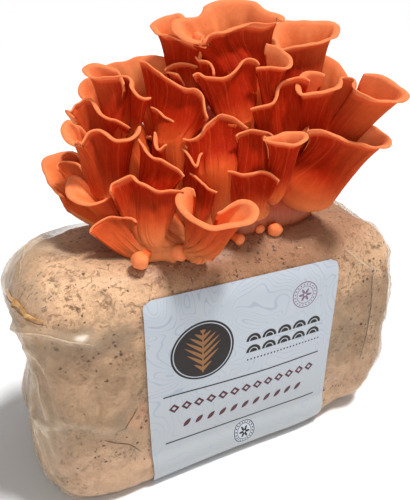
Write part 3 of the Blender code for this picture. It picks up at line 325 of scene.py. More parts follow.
def capSheet(shape, columns, random):
    # rows of points from the foot to the rim, half way through the flesh, and half its thickness there
    closed = shape["closed"]
    curve = smoothCurve(shape["knots"], closed)
    rim, rimLength = evenPoints(curve, columns, closed)
    rim = rippled(rim, rimLength, closed, random)
    foot, waist = shape["foot"], shape["waist"]
    footRadius, waistRadius = shape["radii"]
    rimCentre = rim.mean(axis=0)
    growth = unit(unit(waist - foot) + unit(rimCentre - waist))
    across = boardRight if closed else rim[-1] - rim[0]
    side = unit(across - growth * float(across @ growth))
    front = np.cross(side, growth)
    if closed:
        spokes = rim - rimCentre
        own = np.unwrap(np.arctan2(spokes @ side, spokes @ front))
        even = np.linspace(0.0, 2.0 * math.pi, columns, endpoint=False)
        turns = 0.4 * (even + float(np.mean(own - even))) + 0.6 * own
        root = side[None] * np.sin(turns)[:, None] + front[None] * np.cos(turns)[:, None]
        root = capStyle["rootSpread"] * root
        rootHalf = np.full(columns, capStyle["rootWall"])
    else:
        turns = np.linspace(-1.0, 1.0, columns) * capStyle["openTurn"]
        root = side[None] * np.sin(turns)[:, None]
        rootHalf = np.cos(turns)
    tilt = shape["flare"] + capStyle["rimTilt"] + capStyle["rimTiltRise"] * (rim[:, 2] - rimCentre[2])
    tilt = np.radians(np.clip(tilt, *capStyle["rimTiltRange"]))
    rows, halves, rises = [], [], []
    stemShare = capStyle["stemShare"]
    for t in np.linspace(0.0, 1.0, capStyle["stemRows"], endpoint=False):
        radius = footRadius + (waistRadius - footRadius) * t ** capStyle["stemSwell"]
        centre = curveBetween(foot, up * capStyle["stemPull"], waist, growth * capStyle["stemPull"], t)
        rows.append(centre + root * radius)
        halves.append(rootHalf * radius)
        rises.append(stemShare * t)
    start = waist + root * waistRadius
    reach = np.linalg.norm(rim - start, axis=1)[:, None]
    outward = rim - rimCentre if closed else rim - waist + front * 0.25 * reach
    outward[:, 2] = 0.0
    outward = unit(outward)
    arrival = outward * np.cos(tilt)[:, None] + up * np.sin(tilt)[:, None]
    over = np.roll(rim, -1, axis=0) - np.roll(rim, 1, axis=0) if closed else np.gradient(rim, axis=0)
    lipNormal = unit(np.cross(over, arrival))
    lip = lipRadii(rim, rimLength, arrival + lipNormal, closed)
    lipAhead = math.sin(capStyle["lipTurn"])
    lipOver = 1.0 - math.cos(capStyle["lipTurn"])
    rim = rim - (arrival * lipAhead + lipNormal * lipOver) * lip[:, None] * capStyle["lipReach"]
    reach = np.linalg.norm(rim - start, axis=1)[:, None]
    straight = (rim - start) / reach
    leave = growth * (1.0 - shape["bowl"]) + straight * shape["bowl"] + outward * shape["belly"]
    for t in np.linspace(0.0, 1.0, capStyle["capRows"] + 1):
        rows.append(curveBetween(start, leave * capStyle["leavePull"] * reach,
                                 rim, arrival * capStyle["arrivePull"] * reach, t))
        fade = (1.0 - t) ** 3.0
        halves.append(capStyle["thickness"] / 2.0 * (1.0 - fade) + rootHalf * waistRadius * fade)
        rises.append(stemShare + (1.0 - stemShare) * t)
    rows, halves, rises = np.array(rows), np.array(halves), np.array(rises)
    normals = sheetDirections(rows, closed)[0]
    share = np.linspace(0.0, 1.0, columns, endpoint=not closed)
    folds = max(round(rimLength / capStyle["foldWidth"]), 2)
    depth = np.sin(2.0 * math.pi * folds * share + random.uniform(0.0, 6.3))
    depth = depth + 0.6 * np.sin(2.0 * math.pi * (folds + 2) * share + random.uniform(0.0, 6.3))
    hold = np.sin(np.clip((rises - 0.25) / 0.75, 0.0, 1.0) * math.pi * 0.8)
    edge = 1.0 if closed else np.sin(share * math.pi) ** 0.6
    rows = rows + normals * (hold[:, None] * (depth * edge)[None] * capStyle["foldDepth"] * 0.6)[:, :, None]
    normals, along = sheetDirections(rows, closed)
    return rows, halves, rises, normals, along, lip


def lipRadii(rim, rimLength, rollWay, closed):
    # how far the lip rolls: less on small caps, and less where the rim turns in so sharply that the lip would
    # cross itself
    count = len(rim)
    mode = "wrap" if closed else "edge"
    widest = min(capStyle["lipRadius"], rimLength * capStyle["lipShare"])
    spacing = rimLength / count
    near = max(round(1.5 / spacing), 1)
    padded = np.pad(rim, ((near, near), (0, 0)), mode=mode)
    bend = (padded[2 * near:] - 2.0 * rim + padded[:-2 * near]) / (near * spacing) ** 2.0
    turnIn = np.maximum(np.sum(bend * unit(rollWay), axis=1), 1e-4)
    radii = np.minimum(widest, capStyle["lipRoom"] / turnIn)
    reach = max(round(2.5 / spacing), 1)
    padded = np.pad(radii, reach, mode=mode)
    radii = np.array([padded[index:index + 2 * reach + 1].min() for index in range(count)])
    padded = np.pad(radii, reach, mode=mode)
    radii = np.array([padded[index:index + 2 * reach + 1].mean() for index in range(count)])
    if not closed:
        radii = radii * (0.25 + 0.75 * np.sin(np.linspace(0.0, math.pi, count)) ** 0.5)
    return np.maximum(radii, 0.5)


def lipRows(rim, half, normal, along, radius):
    # the rolled lip: its gill side with the round edge, and its top side
    gillSide, topSide = [], []
    for turn in np.linspace(0.0, capStyle["lipTurn"], capStyle["lipSteps"] + 1)[1:]:
        middle = rim + along * radius * math.sin(turn) + normal * radius * (1.0 - math.cos(turn))
        outward = normal * math.cos(turn) - along * math.sin(turn)
        gillSide.append(middle + outward * half)
        topSide.append(middle - outward * half)
    ahead = along * math.cos(capStyle["lipTurn"]) + normal * math.sin(capStyle["lipTurn"])
    for step in range(1, 2 * capStyle["edgeSteps"] - 1):
        turn = math.pi * step / (2.0 * capStyle["edgeSteps"] - 1.0)
        gillSide.append(middle + outward * half * math.cos(turn) + ahead * half * math.sin(turn))
    return gillSide, topSide


def mushroomMesh(shape, random):
    # a closed mesh whose gill side has a few columns for each gill and whose top side has one
    closed = shape["closed"]
    _, rimLength = evenPoints(smoothCurve(shape["knots"], closed), 8, closed)
    gills = max(round(rimLength / capStyle["gillSpacing"]), 6)
    perGill = capStyle["columnsPerGill"]
    columns = gills * perGill if closed else gills * perGill + 1
    rows, halves, rises, normals, along, lip = capSheet(shape, columns, random)
    gillRows = list(rows + normals * halves[:, :, None])
    topRows = list(rows - normals * halves[:, :, None])
    lipGill, lipTop = lipRows(rows[-1], halves[-1][:, None], normals[-1], along[-1], lip[:, None])
    gillMask = [1.0] * len(gillRows) + [0.0] * len(lipGill)
    gillRise = list(rises) + [1.0] * len(lipGill)
    topRise = list(rises) + [1.0] * len(lipTop)
    gillRows += lipGill
    topRows += lipTop
    if closed:
        floorRise = capStyle["stemShare"] + (1.0 - capStyle["stemShare"]) * capStyle["funnelFloor"]
        floor = next(index for index, rise in enumerate(rises) if rise > floorRise)
        topRows = topRows[floor:]
        topRise = topRise[floor:]
    topRows = [row[::perGill] for row in topRows]
    topColumns = len(topRows[0])
    points = np.concatenate([np.concatenate(gillRows), np.concatenate(topRows)])
    side = np.concatenate([np.repeat(gillMask, columns), np.zeros(len(topRows) * topColumns)])
    rise = np.concatenate([np.repeat(gillRise, columns), np.repeat(topRise, topColumns)])
    if not closed:
        # the narrow walls beside an open cap are coloured like its gill side
        flank = np.zeros((len(topRows), topColumns))
        flank[:, [0, 1, -2, -1]] = np.where(np.array(topRise) < 0.9, 1.0, 0.0)[:, None]
        side[len(gillRows) * columns:] = flank.ravel()
    turn = np.concatenate([np.tile(np.arange(columns) / perGill, len(gillRows)),
                           np.tile(np.arange(topColumns) * 1.0, len(topRows))])
    faces = gridFaces(len(gillRows), columns, closed)
    topStart = len(gillRows) * columns
    topFaces = gridFaces(len(topRows), topColumns, closed)
    faces += [[topStart + corner for corner in reversed(face)] for face in topFaces]
    # the top side's last row meets the lip's edge, with several of the lip's points to each of its own
    lipStart = (len(gillRows) - 1) * columns
    topLast = topStart + (len(topRows) - 1) * topColumns
    for index in range(gills):
        after = (index + 1) % topColumns
        edge = [lipStart + (index * perGill + step) % columns for step in range(perGill + 1)]
        faces.append(edge + [topLast + after, topLast + index])
    if closed:
        bottom = len(points)
        points = np.concatenate([points, points[topStart:topStart + topColumns].mean(axis=0)[None]])
        side, rise, turn = np.append(side, 0.0), np.append(rise, topRise[0]), np.append(turn, 0.0)
        for index in range(topColumns):
            faces.append([topStart + (index + 1) % topColumns, topStart + index, bottom])
        faces.append(list(reversed(range(columns))))
    else:
        faces += sideWalls(len(gillRows), len(topRows), columns, topColumns, topStart)
    return points, faces, {"gillSide": side, "gillRise": rise, "gillTurn": turn}


def sideWalls(gillRowCount, topRowCount, columns, topColumns, topStart):
    # the two narrow walls beside an open cap, and its foot
    walls = []
    for row in range(topRowCount - 1):
        left, leftUp = row * columns, (row + 1) * columns
        topLeft, topLeftUp = topStart + row * topColumns, topStart + (row + 1) * topColumns
        walls.append([leftUp, topLeftUp, topLeft, left])
        right, rightUp = left + columns - 1, leftUp + columns - 1
        topRight, topRightUp = topLeft + topColumns - 1, topLeftUp + topColumns - 1
        walls.append([right, topRight, topRightUp, rightUp])
    # past the top side's last row, the walls close over the lip's round edge
    last = topRowCount - 1
    topLeft = topStart + last * topColumns
    walls.append([row * columns for row in range(gillRowCount - 1, last - 1, -1)] + [topLeft])
    rightEdge = [row * columns + columns - 1 for row in range(last, gillRowCount)]
    walls.append([topLeft + topColumns - 1] + rightEdge)
    walls.append(list(reversed(range(columns))) + [topStart + column for column in range(topColumns)])
    return walls


def gillTree():
    # raises thin ridges on the gill side; some of them start only half way up the cap
    tree, wiring, given = newTree("gillRidges", ("Ridge Height", "Ridge Sharpness", "Short Ridge Share"))
    gillTurn, gillRise, gillSide = (
        wiring.node("GeometryNodeInputNamedAttribute", {"Name": name}, data_type="FLOAT").outputs[0]
        for name in ("gillTurn", "gillRise", "gillSide"))
    number = wiring.maths("FLOOR", gillTurn)
    across = wiring.minus(gillTurn, number)
    crest = wiring.maths("ABSOLUTE", wiring.maths("MULTIPLY_ADD", across, 2.0, -1.0))
    profile = wiring.maths("POWER", wiring.minus(1.0, crest), given["Ridge Sharpness"])
    gill = {"ID": wiring.maths("ROUND", number), "Seed": given["Seed"]}
    drawn = wiring.node("FunctionNodeRandomValue", gill, data_type="FLOAT").outputs[1]
    isShort = wiring.maths("LESS_THAN", drawn, given["Short Ridge Share"])
    begin = wiring.times(isShort, wiring.maths("MULTIPLY_ADD", drawn, 0.5, 0.5))
    grown = wiring.step(gillRise, begin, wiring.plus(begin, 0.1))
    fades = wiring.times(wiring.step(gillRise, 1.0, 0.93), wiring.step(gillRise, 0.0, 0.3, 0.25, 1.0))
    height = wiring.times(wiring.times(profile, grown), wiring.times(fades, gillSide))
    height = wiring.times(height, given["Ridge Height"])
    normal = wiring.node("GeometryNodeInputNormal").outputs[0]
    offset = wiring.node("ShaderNodeVectorMath", {0: normal, 3: height}, operation="SCALE").outputs[0]
    moved = wiring.node("GeometryNodeSetPosition", {"Geometry": given["Geometry"], "Offset": offset})
    endTree(wiring, moved.outputs[0], given["Finish"])
    return tree


def nodesApplied(obj, tree, settings):
    # the object's mesh with the tree's result in it and no modifier left
    modifier = obj.modifiers.new(tree.name, "NODES")
    modifier.node_group = tree
    for item in tree.interface.items_tree:
        if item.in_out == "INPUT" and item.name in settings:
            modifier[item.identifier] = settings[item.name]
    evaluated = obj.evaluated_get(bpy.context.evaluated_depsgraph_get())
    mesh = bpy.data.meshes.new_from_object(evaluated)
    obj.modifiers.clear()
    spare = obj.data
    obj.data = mesh
    bpy.data.meshes.remove(spare)
    return obj


def fleshMaterial():
    # orange-pink caps: deep red and finely ribbed below, partly their own colour and partly painted shade
    # under the caps, darkest deep in the cluster and in the grooves between the gills; tan where the cap
    # meets its stem, and bright along the rolled lip
    look = {
        "top": tint(246, 146, 88), "topPatch": tint(234, 120, 66), "topDeep": tint(196, 74, 30),
        # the gill side's deep reds are partly its own colour and partly painted shade under the caps
        "gill": tint(186, 50, 14), "gillDeep": tint(168, 32, 4), "grooveShade": tint(134, 24, 4),
        "streak": tint(208, 84, 40), "outerGill": tint(216, 102, 52), "stem": tint(208, 84, 36),
        "stemLow": tint(214, 124, 74), "lip": tint(240, 134, 84), "lipLine": tint(218, 90, 46),
        "shadeHeart": (0.012, -0.004, 0.19),     # painted shade: the caps near this point, deep in the cluster, are painted darkest below
    }
    material, shader, wiring, place = newMaterial("mushroomFlesh")
    rise, side, turn = (wiring.attribute(name) for name in ("gillRise", "gillSide", "gillTurn"))
    patches = wiring.step(wiring.noise(place, 60.0, 3.0), 0.35, 0.68)
    top = wiring.mix(patches, look["top"], look["topPatch"])
    top = wiring.mix(wiring.step(rise, 0.8, 0.45), top, look["topDeep"])
    # painted shade: gill sides near the cluster's heart stay dark red, and those far from it are paler
    # orange, as are the lower caps
    away = wiring.node("ShaderNodeVectorMath", {0: place, 1: look["shadeHeart"]}, operation="DISTANCE")
    low = wiring.step(wiring.parts(place)[2], 0.185, 0.15)
    outer = wiring.maths("MAXIMUM", wiring.step(away.outputs["Value"], 0.06, 0.1), low)
    along = wiring.together(wiring.times(turn, 0.22), wiring.times(rise, 1.3))
    streaks = wiring.step(wiring.noise(along, 2.6, 3.0, 0.6), 0.48, 0.72)
    gill = wiring.mix(streaks, look["gillDeep"], look["gill"])
    gill = wiring.mix(wiring.times(outer, 0.75), gill, look["outerGill"])
    number = wiring.maths("FLOOR", turn)
    perGill = wiring.node("ShaderNodeTexWhiteNoise", {"W": number}, noise_dimensions="1D").outputs[0]
    gill = wiring.mix(wiring.step(perGill, 0.8, 1.0, 0.0, 0.3), gill, look["streak"])
    # painted shade in the grooves between the gills, high on the cap and weaker on the outer caps
    crest = wiring.maths("ABSOLUTE", wiring.maths("MULTIPLY_ADD", wiring.maths("FRACT", turn), 2.0, -1.0))
    shadedGrooves = wiring.times(wiring.step(crest, 0.5, 1.0), wiring.step(rise, 0.42, 0.62))
    shadedGrooves = wiring.times(shadedGrooves, wiring.step(perGill, 0.0, 1.0, 0.2, 0.6))
    shadedGrooves = wiring.times(shadedGrooves, wiring.maths("MULTIPLY_ADD", outer, -0.45, 1.0))
    gill = wiring.mix(shadedGrooves, gill, look["grooveShade"])
    stem = wiring.mix(low, look["stem"], look["stemLow"])
    gill = wiring.mix(wiring.step(rise, 0.6, 0.25), gill, stem)
    gill = wiring.mix(wiring.step(rise, 0.93, 0.995), gill, look["lipLine"])
    outside = wiring.mix(wiring.step(rise, 0.86, 0.999), top, look["lip"])
    colour = wiring.mix(side, outside, gill)
    mottle = wiring.step(wiring.noise(place, 320.0, 2.0), 0.2, 0.8, 0.93, 1.05)
    mottle = wiring.node("ShaderNodeCombineColor", {0: mottle, 1: mottle, 2: mottle}).outputs[0]
    wiring.fill(shader, {
        "Base Color": wiring.mix(1.0, colour, mottle, "MULTIPLY"),
        "Roughness": 0.65,
        "Subsurface Weight": 0.12,
        "Subsurface Radius": (1.0, 0.35, 0.15),
        "Subsurface Scale": 0.004,
        "Specular IOR Level": 0.04,
        "Normal": wiring.bump(wiring.noise(place, 900.0, 3.0), 0.25, 0.0006),
    })
    return material


def seen(name, near, level, flare, waist, foot, radii, rim, closed=False, bowl=0.5, belly=0.35, behind=None):
    # a mushroom that shows in the view. near brings its rim from the board towards the eye, level brings
    # the points that are drawn lower nearer still, and behind moves some points away from the eye, or nearer
    # where its number is negative. The waist is across, height and how near it lies. flare tilts the rim up
    # further, in degrees. radii are the stem's at its foot and at the waist. A larger bowl heads more
    # directly for the rim, and a larger belly swells further out on the way
    behind = behind or {}
    drawn = np.array(rim, dtype=float)
    middleHeight = float(np.mean(drawn[:, 1]))
    knots = np.array([onBoard(across, height, near + level * (middleHeight - height) - behind.get(index, 0.0))
                      for index, (across, height) in enumerate(drawn)])
    return {"name": name, "flare": flare, "foot": np.array(foot, dtype=float), "waist": onBoard(*waist),
            "radii": radii, "knots": knots, "closed": closed, "bowl": bowl, "belly": belly}


seenMushrooms = [
    seen("mushroom_front_cup", 55, 1.1, 12, (0, 129.5, 50), (-16, -30, 147), (6.0, 8.5), [
        (-3.2, 169.2), (-6.3, 170.2), (-10, 169.2), (-13.2, 165.3), (-13.9, 161.4), (-12.1, 156.7),
        (-8.4, 152), (-3.4, 147.9), (2.3, 144.8), (8.7, 143.4), (15.7, 143.7), (23.3, 144.8),
        (30.3, 146.5), (34.6, 149.9), (36.3, 154.7), (34.2, 159.4), (29.7, 162), (24.8, 161.4),
        (19.8, 158.7), (15.5, 155.4), (11.1, 153.3)], bowl=0.7),
    seen("mushroom_front_left_fan", 40, 0.8, 30, (-30, 138, 43), (-28, -28, 147), (8.0, 9.5), [
        (-55, 168), (-54.6, 170), (-53.4, 172.7), (-48, 175.8), (-44, 177.5), (-41.4, 178),
        (-40, 176.4), (-37.8, 174), (-34.5, 172.4), (-30.7, 170.7), (-27, 169), (-23, 168.2),
        (-17, 168.6), (-12, 168.4), (-9.5, 168)], bowl=0.75),
    seen("mushroom_low_left_fan", 45, 0.8, 25, (-37, 129, 45), (-31, -33, 145), (6.0, 8.0), [
        (-70, 140.5), (-68.8, 143.3), (-64.5, 147), (-59.6, 149.8), (-55, 151.3), (-50.4, 151.3),
        (-46, 151), (-42.5, 149.8), (-40.6, 148)], bowl=0.8),
    seen("mushroom_left_cup", 35, 1.2, 5, (-50, 147, 32), (-40, -27, 148), (7.0, 9.0), [
        (-62.7, 166.6), (-65.4, 171.2), (-70, 175), (-74, 177.6), (-77.7, 177.2), (-80.9, 173.1),
        (-81.7, 168.6), (-80.4, 164), (-76.3, 161), (-71.5, 159.7), (-65.8, 159.7), (-60.1, 161.7),
        (-55.7, 165)], bowl=0.7, behind={0: 9, 1: 6, 2: 3}),
    seen("mushroom_left_funnel", 25, 1.0, 14, (-55, 169, 21), (-38, -24, 149), (7.5, 9.0), [
        (-62.8, 199.7), (-66.5, 203.8), (-70.2, 208), (-74.6, 210.9), (-77.9, 210), (-80.1, 206.2),
        (-79.1, 201.5), (-76, 197.9), (-72, 196.4), (-68.7, 199.4), (-65.4, 203.3), (-61.7, 205.3),
        (-58.4, 205.6), (-55.3, 203.8), (-52.3, 201.5), (-48.6, 199.7), (-45, 199.4), (-41.1, 200),
        (-37.8, 202.1), (-35.2, 205), (-34.5, 208)], bowl=0.6, behind={0: 9, 1: 6, 2: 3}),
    seen("mushroom_front_ribbon", 31, 0.8, 25, (-28, 159, 34), (-23, -27, 148), (6.0, 8.0), [
        (-36, 200.8), (-33.3, 196.5), (-31.8, 193.3), (-28.8, 190.6), (-26, 189), (-22, 187),
        (-17.7, 185), (-14, 183), (-11.4, 180.7), (-9.4, 178)]),
    seen("mushroom_centre_fan", 35, 0.8, 35, (32, 160, 30), (39, -13, 150), (5.0, 8.5), [
        (10.9, 178.2), (15.7, 180.4), (20.6, 180.1), (26.7, 179.1), (32.2, 179.5), (37.6, 181.3),
        (41.3, 180.4), (45, 178.2), (48.9, 175)], bowl=0.7),
    seen("mushroom_centre_small", 38, 0.8, 30, (1, 152, 38), (-6, -29, 147), (4.0, 5.5), [
        (-5.5, 179.6), (-2.7, 178), (0, 175.6), (2.8, 172.7), (5, 170), (7.7, 168.4), (11, 167.5)]),
    seen("mushroom_centre_tall", 20, 0.8, 30, (10, 182, 25), (0, -24, 149), (9.0, 12.0), [
        (-9.4, 200.7), (-6.2, 200), (-3.6, 200.5), (-1, 202), (1.7, 204.7), (3.8, 208), (6.4, 210.3),
        (9, 212.6), (11, 214), (13, 214.6), (16.4, 214), (20, 213), (23, 211), (25.8, 209),
        (28.6, 207)]),
    seen("mushroom_right_trumpet", 30, 1.9, 25, (47, 171, 24), (47, -5, 150), (4.5, 6.0), [
        (37.3, 200.9), (40.9, 199.4), (45.7, 198.2), (51.1, 197.4), (56.4, 197.3), (61.1, 198.2),
        (63.6, 200.6), (63, 203.6), (60, 204.7), (55.3, 204.7), (50.7, 203.6),
        (46, 202.1)], closed=True, bowl=0.7),
    seen("mushroom_right_fan", 8, 1.5, 20, (66, 178, -1), (66, -3, 159), (12.0, 23.0), [
        (61.8, 203.2), (65.5, 205.4), (70.2, 205.4), (75.1, 203.8), (83.8, 200.9), (89.5, 199.1),
        (95.6, 197.3), (103.3, 195.5), (109, 195.1), (112.5, 196.7), (113, 199.1), (110.8, 201.9),
        (106.7, 204.7), (100.8, 207.5), (94.2, 208.8), (87.1, 208.6), (79.4, 204.5), (70.7, 203.5),
        (63.9, 201.5)], closed=True, bowl=0.9,
        behind={0: -3, 1: -8, 2: -9, 3: -7, 4: -4, 14: 4, 15: 10, 16: 15, 17: 15, 18: 8}),
    seen("mushroom_right_curl", 5, 1.3, 25, (67, 194, -8), (62, -2, 149), (9.0, 15.0), [
        (71, 236.6), (66, 238), (61, 238), (57.5, 235.8), (55.8, 232), (56, 228.3),
        (58.5, 226), (62.5, 226), (68, 226.9), (73, 227.6), (76.9, 228.6), (79.6, 230.5),
        (80.6, 233), (80.1, 234.9), (82.9, 235.4), (86.4, 234.6), (88, 232.7), (87.4, 230.2),
        (91.8, 226.9), (97.3, 224.2), (103.9, 222.5), (110.6, 221.9), (116, 222.1), (118.8, 223.9),
        (119.1, 226.1), (116.6, 228.6), (113, 230.2), (108.8, 233.2), (103.1, 235.9), (97.5, 237.1),
        (92.2, 237.2)], bowl=0.7),
    seen("mushroom_right_wave", 10, 0.8, 30, (47, 196, 4), (50, -10, 149), (7.0, 10.0), [
        (29.7, 218), (33, 219), (37.5, 220), (41.6, 220.7), (43.5, 222), (44.5, 225), (45, 228.5),
        (46.4, 231.4), (48.8, 233.6), (52, 234.8), (55, 235.4), (57.7, 235.5), (60.4, 234.8),
        (62.7, 233.6)]),
    seen("mushroom_centre_arc", 24, 0.8, 30, (32, 172, 25), (24, -18, 148), (6.0, 8.5), [
        (21.8, 202.3), (23.4, 204), (26, 205), (29.7, 206), (33.4, 206), (37, 205), (40.3, 204),
        (43, 202.6), (45, 200.5)]),
    seen("mushroom_upper_centre", 8, 0.9, 28, (22, 212, 8), (12, -20, 150), (7.0, 10.0), [
        (-3.2, 236.5), (-0.2, 238), (2.4, 236.3), (5, 235.3), (10, 235), (14, 235.3), (17.5, 236.7),
        (20.4, 239), (22.4, 241), (24.3, 243.4), (26.7, 245), (29, 245.3), (31.7, 244.6),
        (33.7, 242.5)]),
    seen("mushroom_tall_left", 10, 0.8, 30, (-13, 200, 14), (-18, -20, 150), (8.0, 12.0), [
        (-33, 244), (-29.6, 243.4), (-26.7, 241.5), (-22.8, 238.7), (-19.8, 236), (-16.4, 234),
        (-13, 231.4), (-9.3, 229.7), (-5.8, 229), (-2.7, 229), (0.3, 227.5), (2.3, 225), (3, 221),
        (3.5, 217), (5, 213)]),
    seen("mushroom_left_crown", 10, 0.9, 25, (-54, 190, 10), (-36, -16, 150), (7.0, 9.5), [
        (-72.6, 213.2), (-76.7, 217.4), (-73.9, 216.3), (-71.2, 220), (-68.2, 221.4), (-65.2, 223.3),
        (-62.3, 223.6), (-60.4, 221.7), (-59.3, 218.3), (-57.3, 214.9), (-52.3, 212.3), (-48.3, 211.4),
        (-44.3, 209.7), (-40.4, 207.1)], bowl=0.6),
    seen("mushroom_left_inner", 24, 0.8, 30, (-18, 174, 26), (-18, -25, 149), (4.5, 6.0), [
        (-26, 204.5), (-26.3, 199), (-24.5, 194.5), (-22.4, 194.8), (-20.2, 196.7), (-17, 197.5),
        (-13.7, 197.8), (-10.5, 197.5), (-8.4, 197), (-6.8, 195.4)]),
    seen("mushroom_centre_curl", 30, 0.8, 30, (-3, 168, 31), (-9, -27, 148), (4.0, 5.0), [
        (-9.6, 194.8), (-7.5, 192.4), (-5.3, 189), (-3.2, 185.8), (-1.5, 184.5), (-0.5, 187),
        (0.6, 190.8), (1.7, 192)]),
    seen("mushroom_left_small", 15, 0.8, 30, (-20, 186, 18), (-24, -22, 150), (5.0, 7.0), [
        (-27.5, 219), (-23.6, 217), (-20.6, 214.4), (-17, 212.3), (-13.4, 210.3), (-11, 208.7),
        (-9.3, 206.6), (-8.3, 205)]),
    seen("mushroom_upper_left_funnel", 5, 1.3, 22, (-43, 203, 6), (-28, -14, 151), (8.0, 11.0), [
        (-42.3, 231.6), (-43.7, 235.4), (-45.7, 238.6), (-49.4, 241), (-53.3, 241.8), (-57.7, 242.3),
        (-61.7, 241.5), (-64.1, 239.7), (-63.2, 237.5), (-60.5, 235.9), (-56.7, 234.9), (-52.7, 235.1),
        (-48.2, 235.4), (-43.7, 235.9), (-39.8, 235.4), (-38.2, 233.2), (-38.4, 230.5), (-36.8, 227.8),
        (-34.1, 225), (-30.8, 223.6), (-27.3, 224.2)], bowl=0.75),
    seen("mushroom_upper_right_small", 4, 1.2, 20, (40, 215, 2), (32, -14, 150), (5.5, 8.0), [
        (32, 240.3), (36, 240.8), (40, 241), (44, 240), (47.5, 240), (50, 241), (51.5, 243),
        (51.3, 245.3), (49.7, 247.3), (47, 248.8), (43.8, 250.8), (40.5, 252), (37, 253)]),
    seen("mushroom_upper_arc", -1, 0.8, 28, (-5, 214, 0), (-6, -14, 151), (6.5, 10.0), [
        (-19.2, 239), (-17.2, 241), (-13.7, 242.7), (-9.7, 243.2), (-5.7, 242.7), (-1.6, 241.5),
        (2.4, 240.4), (5.4, 238.7), (7.4, 236.7), (9, 235.6)]),
    seen("mushroom_top_right", -21, 1.6, 25, (54, 223, -14), (46, -4, 150), (8.0, 13.0), [
        (54.7, 264), (49, 264.4), (44.6, 263.4), (41.4, 260.8), (40, 257), (40.3, 252.8),
        (43, 250.2), (48.5, 250), (55.7, 251.4), (61.1, 252.4), (66.5, 253.4), (70.8, 254.6),
        (73.9, 256), (75.6, 258.3), (75.5, 260.8), (74, 263), (70.9, 264), (65.5, 263.9),
        (60.2, 263.8)], closed=True, bowl=0.7),
    seen("mushroom_top_centre", -10, 1.5, 22, (27.5, 228, -8), (14, -12, 152), (9.0, 14.5), [
        (12.8, 258), (19.8, 260.3), (27.3, 262.5), (34.3, 262.8), (40, 262.6), (44.2, 263.6),
        (45, 266.2), (40.5, 268), (34.5, 269.8), (29.1, 273.3), (22.7, 274), (14.2, 274),
        (7.3, 273), (3.6, 270.1), (0.3, 266.7), (-6.1, 266), (-11.5, 264.8), (-13.7, 261.8),
        (-11.7, 258.3), (-7.4, 255.3), (-1.9, 253.7), (3, 254.2),
        (5.7, 256.8)], closed=True, bowl=0.75),
    seen("mushroom_top_left", -10, 1.5, 22, (-5, 228, -8), (-6, -12, 152), (7.0, 10.0), [
        (-8, 266), (-15, 267), (-20, 265.5), (-24, 263.5), (-25, 261.5), (-22, 258), (-18.2, 257),
        (-13.3, 256), (-8.4, 254.8), (-4.5, 253.4), (-1, 252), (2.4, 251),
        (5, 252)], closed=True, bowl=0.7),
    seen("mushroom_upper_small", 5, 0.8, 28, (6, 224, 0), (6, -16, 151), (4.5, 6.0), [
        (-1.6, 246.3), (0, 244.8), (2.3, 244.4), (4.8, 244), (7, 242), (8, 240), (8.4, 237)]),
    seen("mushroom_far_left", 0, 0.9, 10, (-74, 160, 12), (-46, -14, 148), (7.0, 8.0), [
        (-75, 193), (-83.4, 192.5), (-89, 190.5), (-93.5, 188), (-95, 185), (-94, 180), (-93, 175),
        (-90, 169.5), (-86, 165)], bowl=0.8),
    seen("mushroom_back_high_right", -30, 0.6, 20, (70, 208, -24), (58, 2, 150), (5.5, 6.5), [
        (85, 232.1), (82, 238.1), (77.5, 243.1), (72.2, 246), (67.1, 247), (62.3, 246), (59.2, 242.8),
        (58.4, 239.1)], bowl=0.6),
    seen("mushroom_back_left_peek", -16, 0.9, 20, (-50, 204, -14), (-32, -4, 150), (5.0, 5.5), [
        (-58, 236), (-64, 234), (-67.5, 231), (-68, 227), (-65, 223), (-60, 220)]),
    seen("mushroom_upper_left_back", -22, 0.6, 20, (-26, 214, -12), (-18, -8, 151), (5.5, 7.5), [
        (-11.5, 240.7), (-15.9, 244.9), (-21.3, 246.5), (-26.9, 247), (-31.9, 246.3), (-36.9, 244.9),
        (-42.6, 243.6), (-48.2, 242.6), (-52.2, 241.3), (-54.7, 238.1)], bowl=0.6),
    seen("mushroom_far_left_small", 8, 0.8, 20, (-70, 172, 10), (-46, -10, 149), (3.0, 3.5), [
        (-82.6, 187.3), (-82.2, 190.6), (-79, 192.8), (-74.8, 192.5), (-71.5, 189.7), (-69.5, 185.7)]),
    seen("mushroom_far_left_inner", 13, 0.8, 20, (-70, 166, 14), (-44, -12, 148), (3.0, 3.5), [
        (-85.6, 182), (-85.5, 185.4), (-82, 187.3), (-77.2, 186.9), (-72.6, 184.5), (-70.1, 180.1)]),
]


hiddenFan = {"points": 11, "from": -95.0, "step": 19.0, "frill": 0.07, "rise": 2.6, "droop": 3.0}


def hidden(name, direction, reach, height, width, flare, foot, radii):
    # a mushroom on the side that the view hides: a fan that faces the given direction from the cluster
    heading = math.radians(direction)
    out = np.array([math.cos(heading), math.sin(heading), 0.0])
    side = np.array([-out[1], out[0], 0.0])
    foot = np.array(foot, dtype=float)
    centre = foot * np.array([1.0, 1.0, 0.0]) + up * height + out * (reach - width * 0.45)
    knots = []
    for step in range(hiddenFan["points"]):
        turn = math.radians(hiddenFan["from"] + hiddenFan["step"] * step)
        ripple = 1.0 + hiddenFan["frill"] * math.sin(4.0 * turn + direction)
        rise = hiddenFan["rise"] * math.sin(3.0 * turn + direction)
        knots.append(centre + out * width * 0.5 * ripple * math.cos(turn)
                     + side * width * 0.56 * ripple * math.sin(turn)
                     + up * (rise - hiddenFan["droop"] * math.cos(turn)))
    waist = foot * 0.55 + (centre - out * width * 0.1) * 0.45
    return {"name": name, "flare": flare, "foot": foot, "waist": waist, "radii": radii,
            "knots": np.array(knots), "closed": False, "bowl": 0.5, "belly": 0.35}


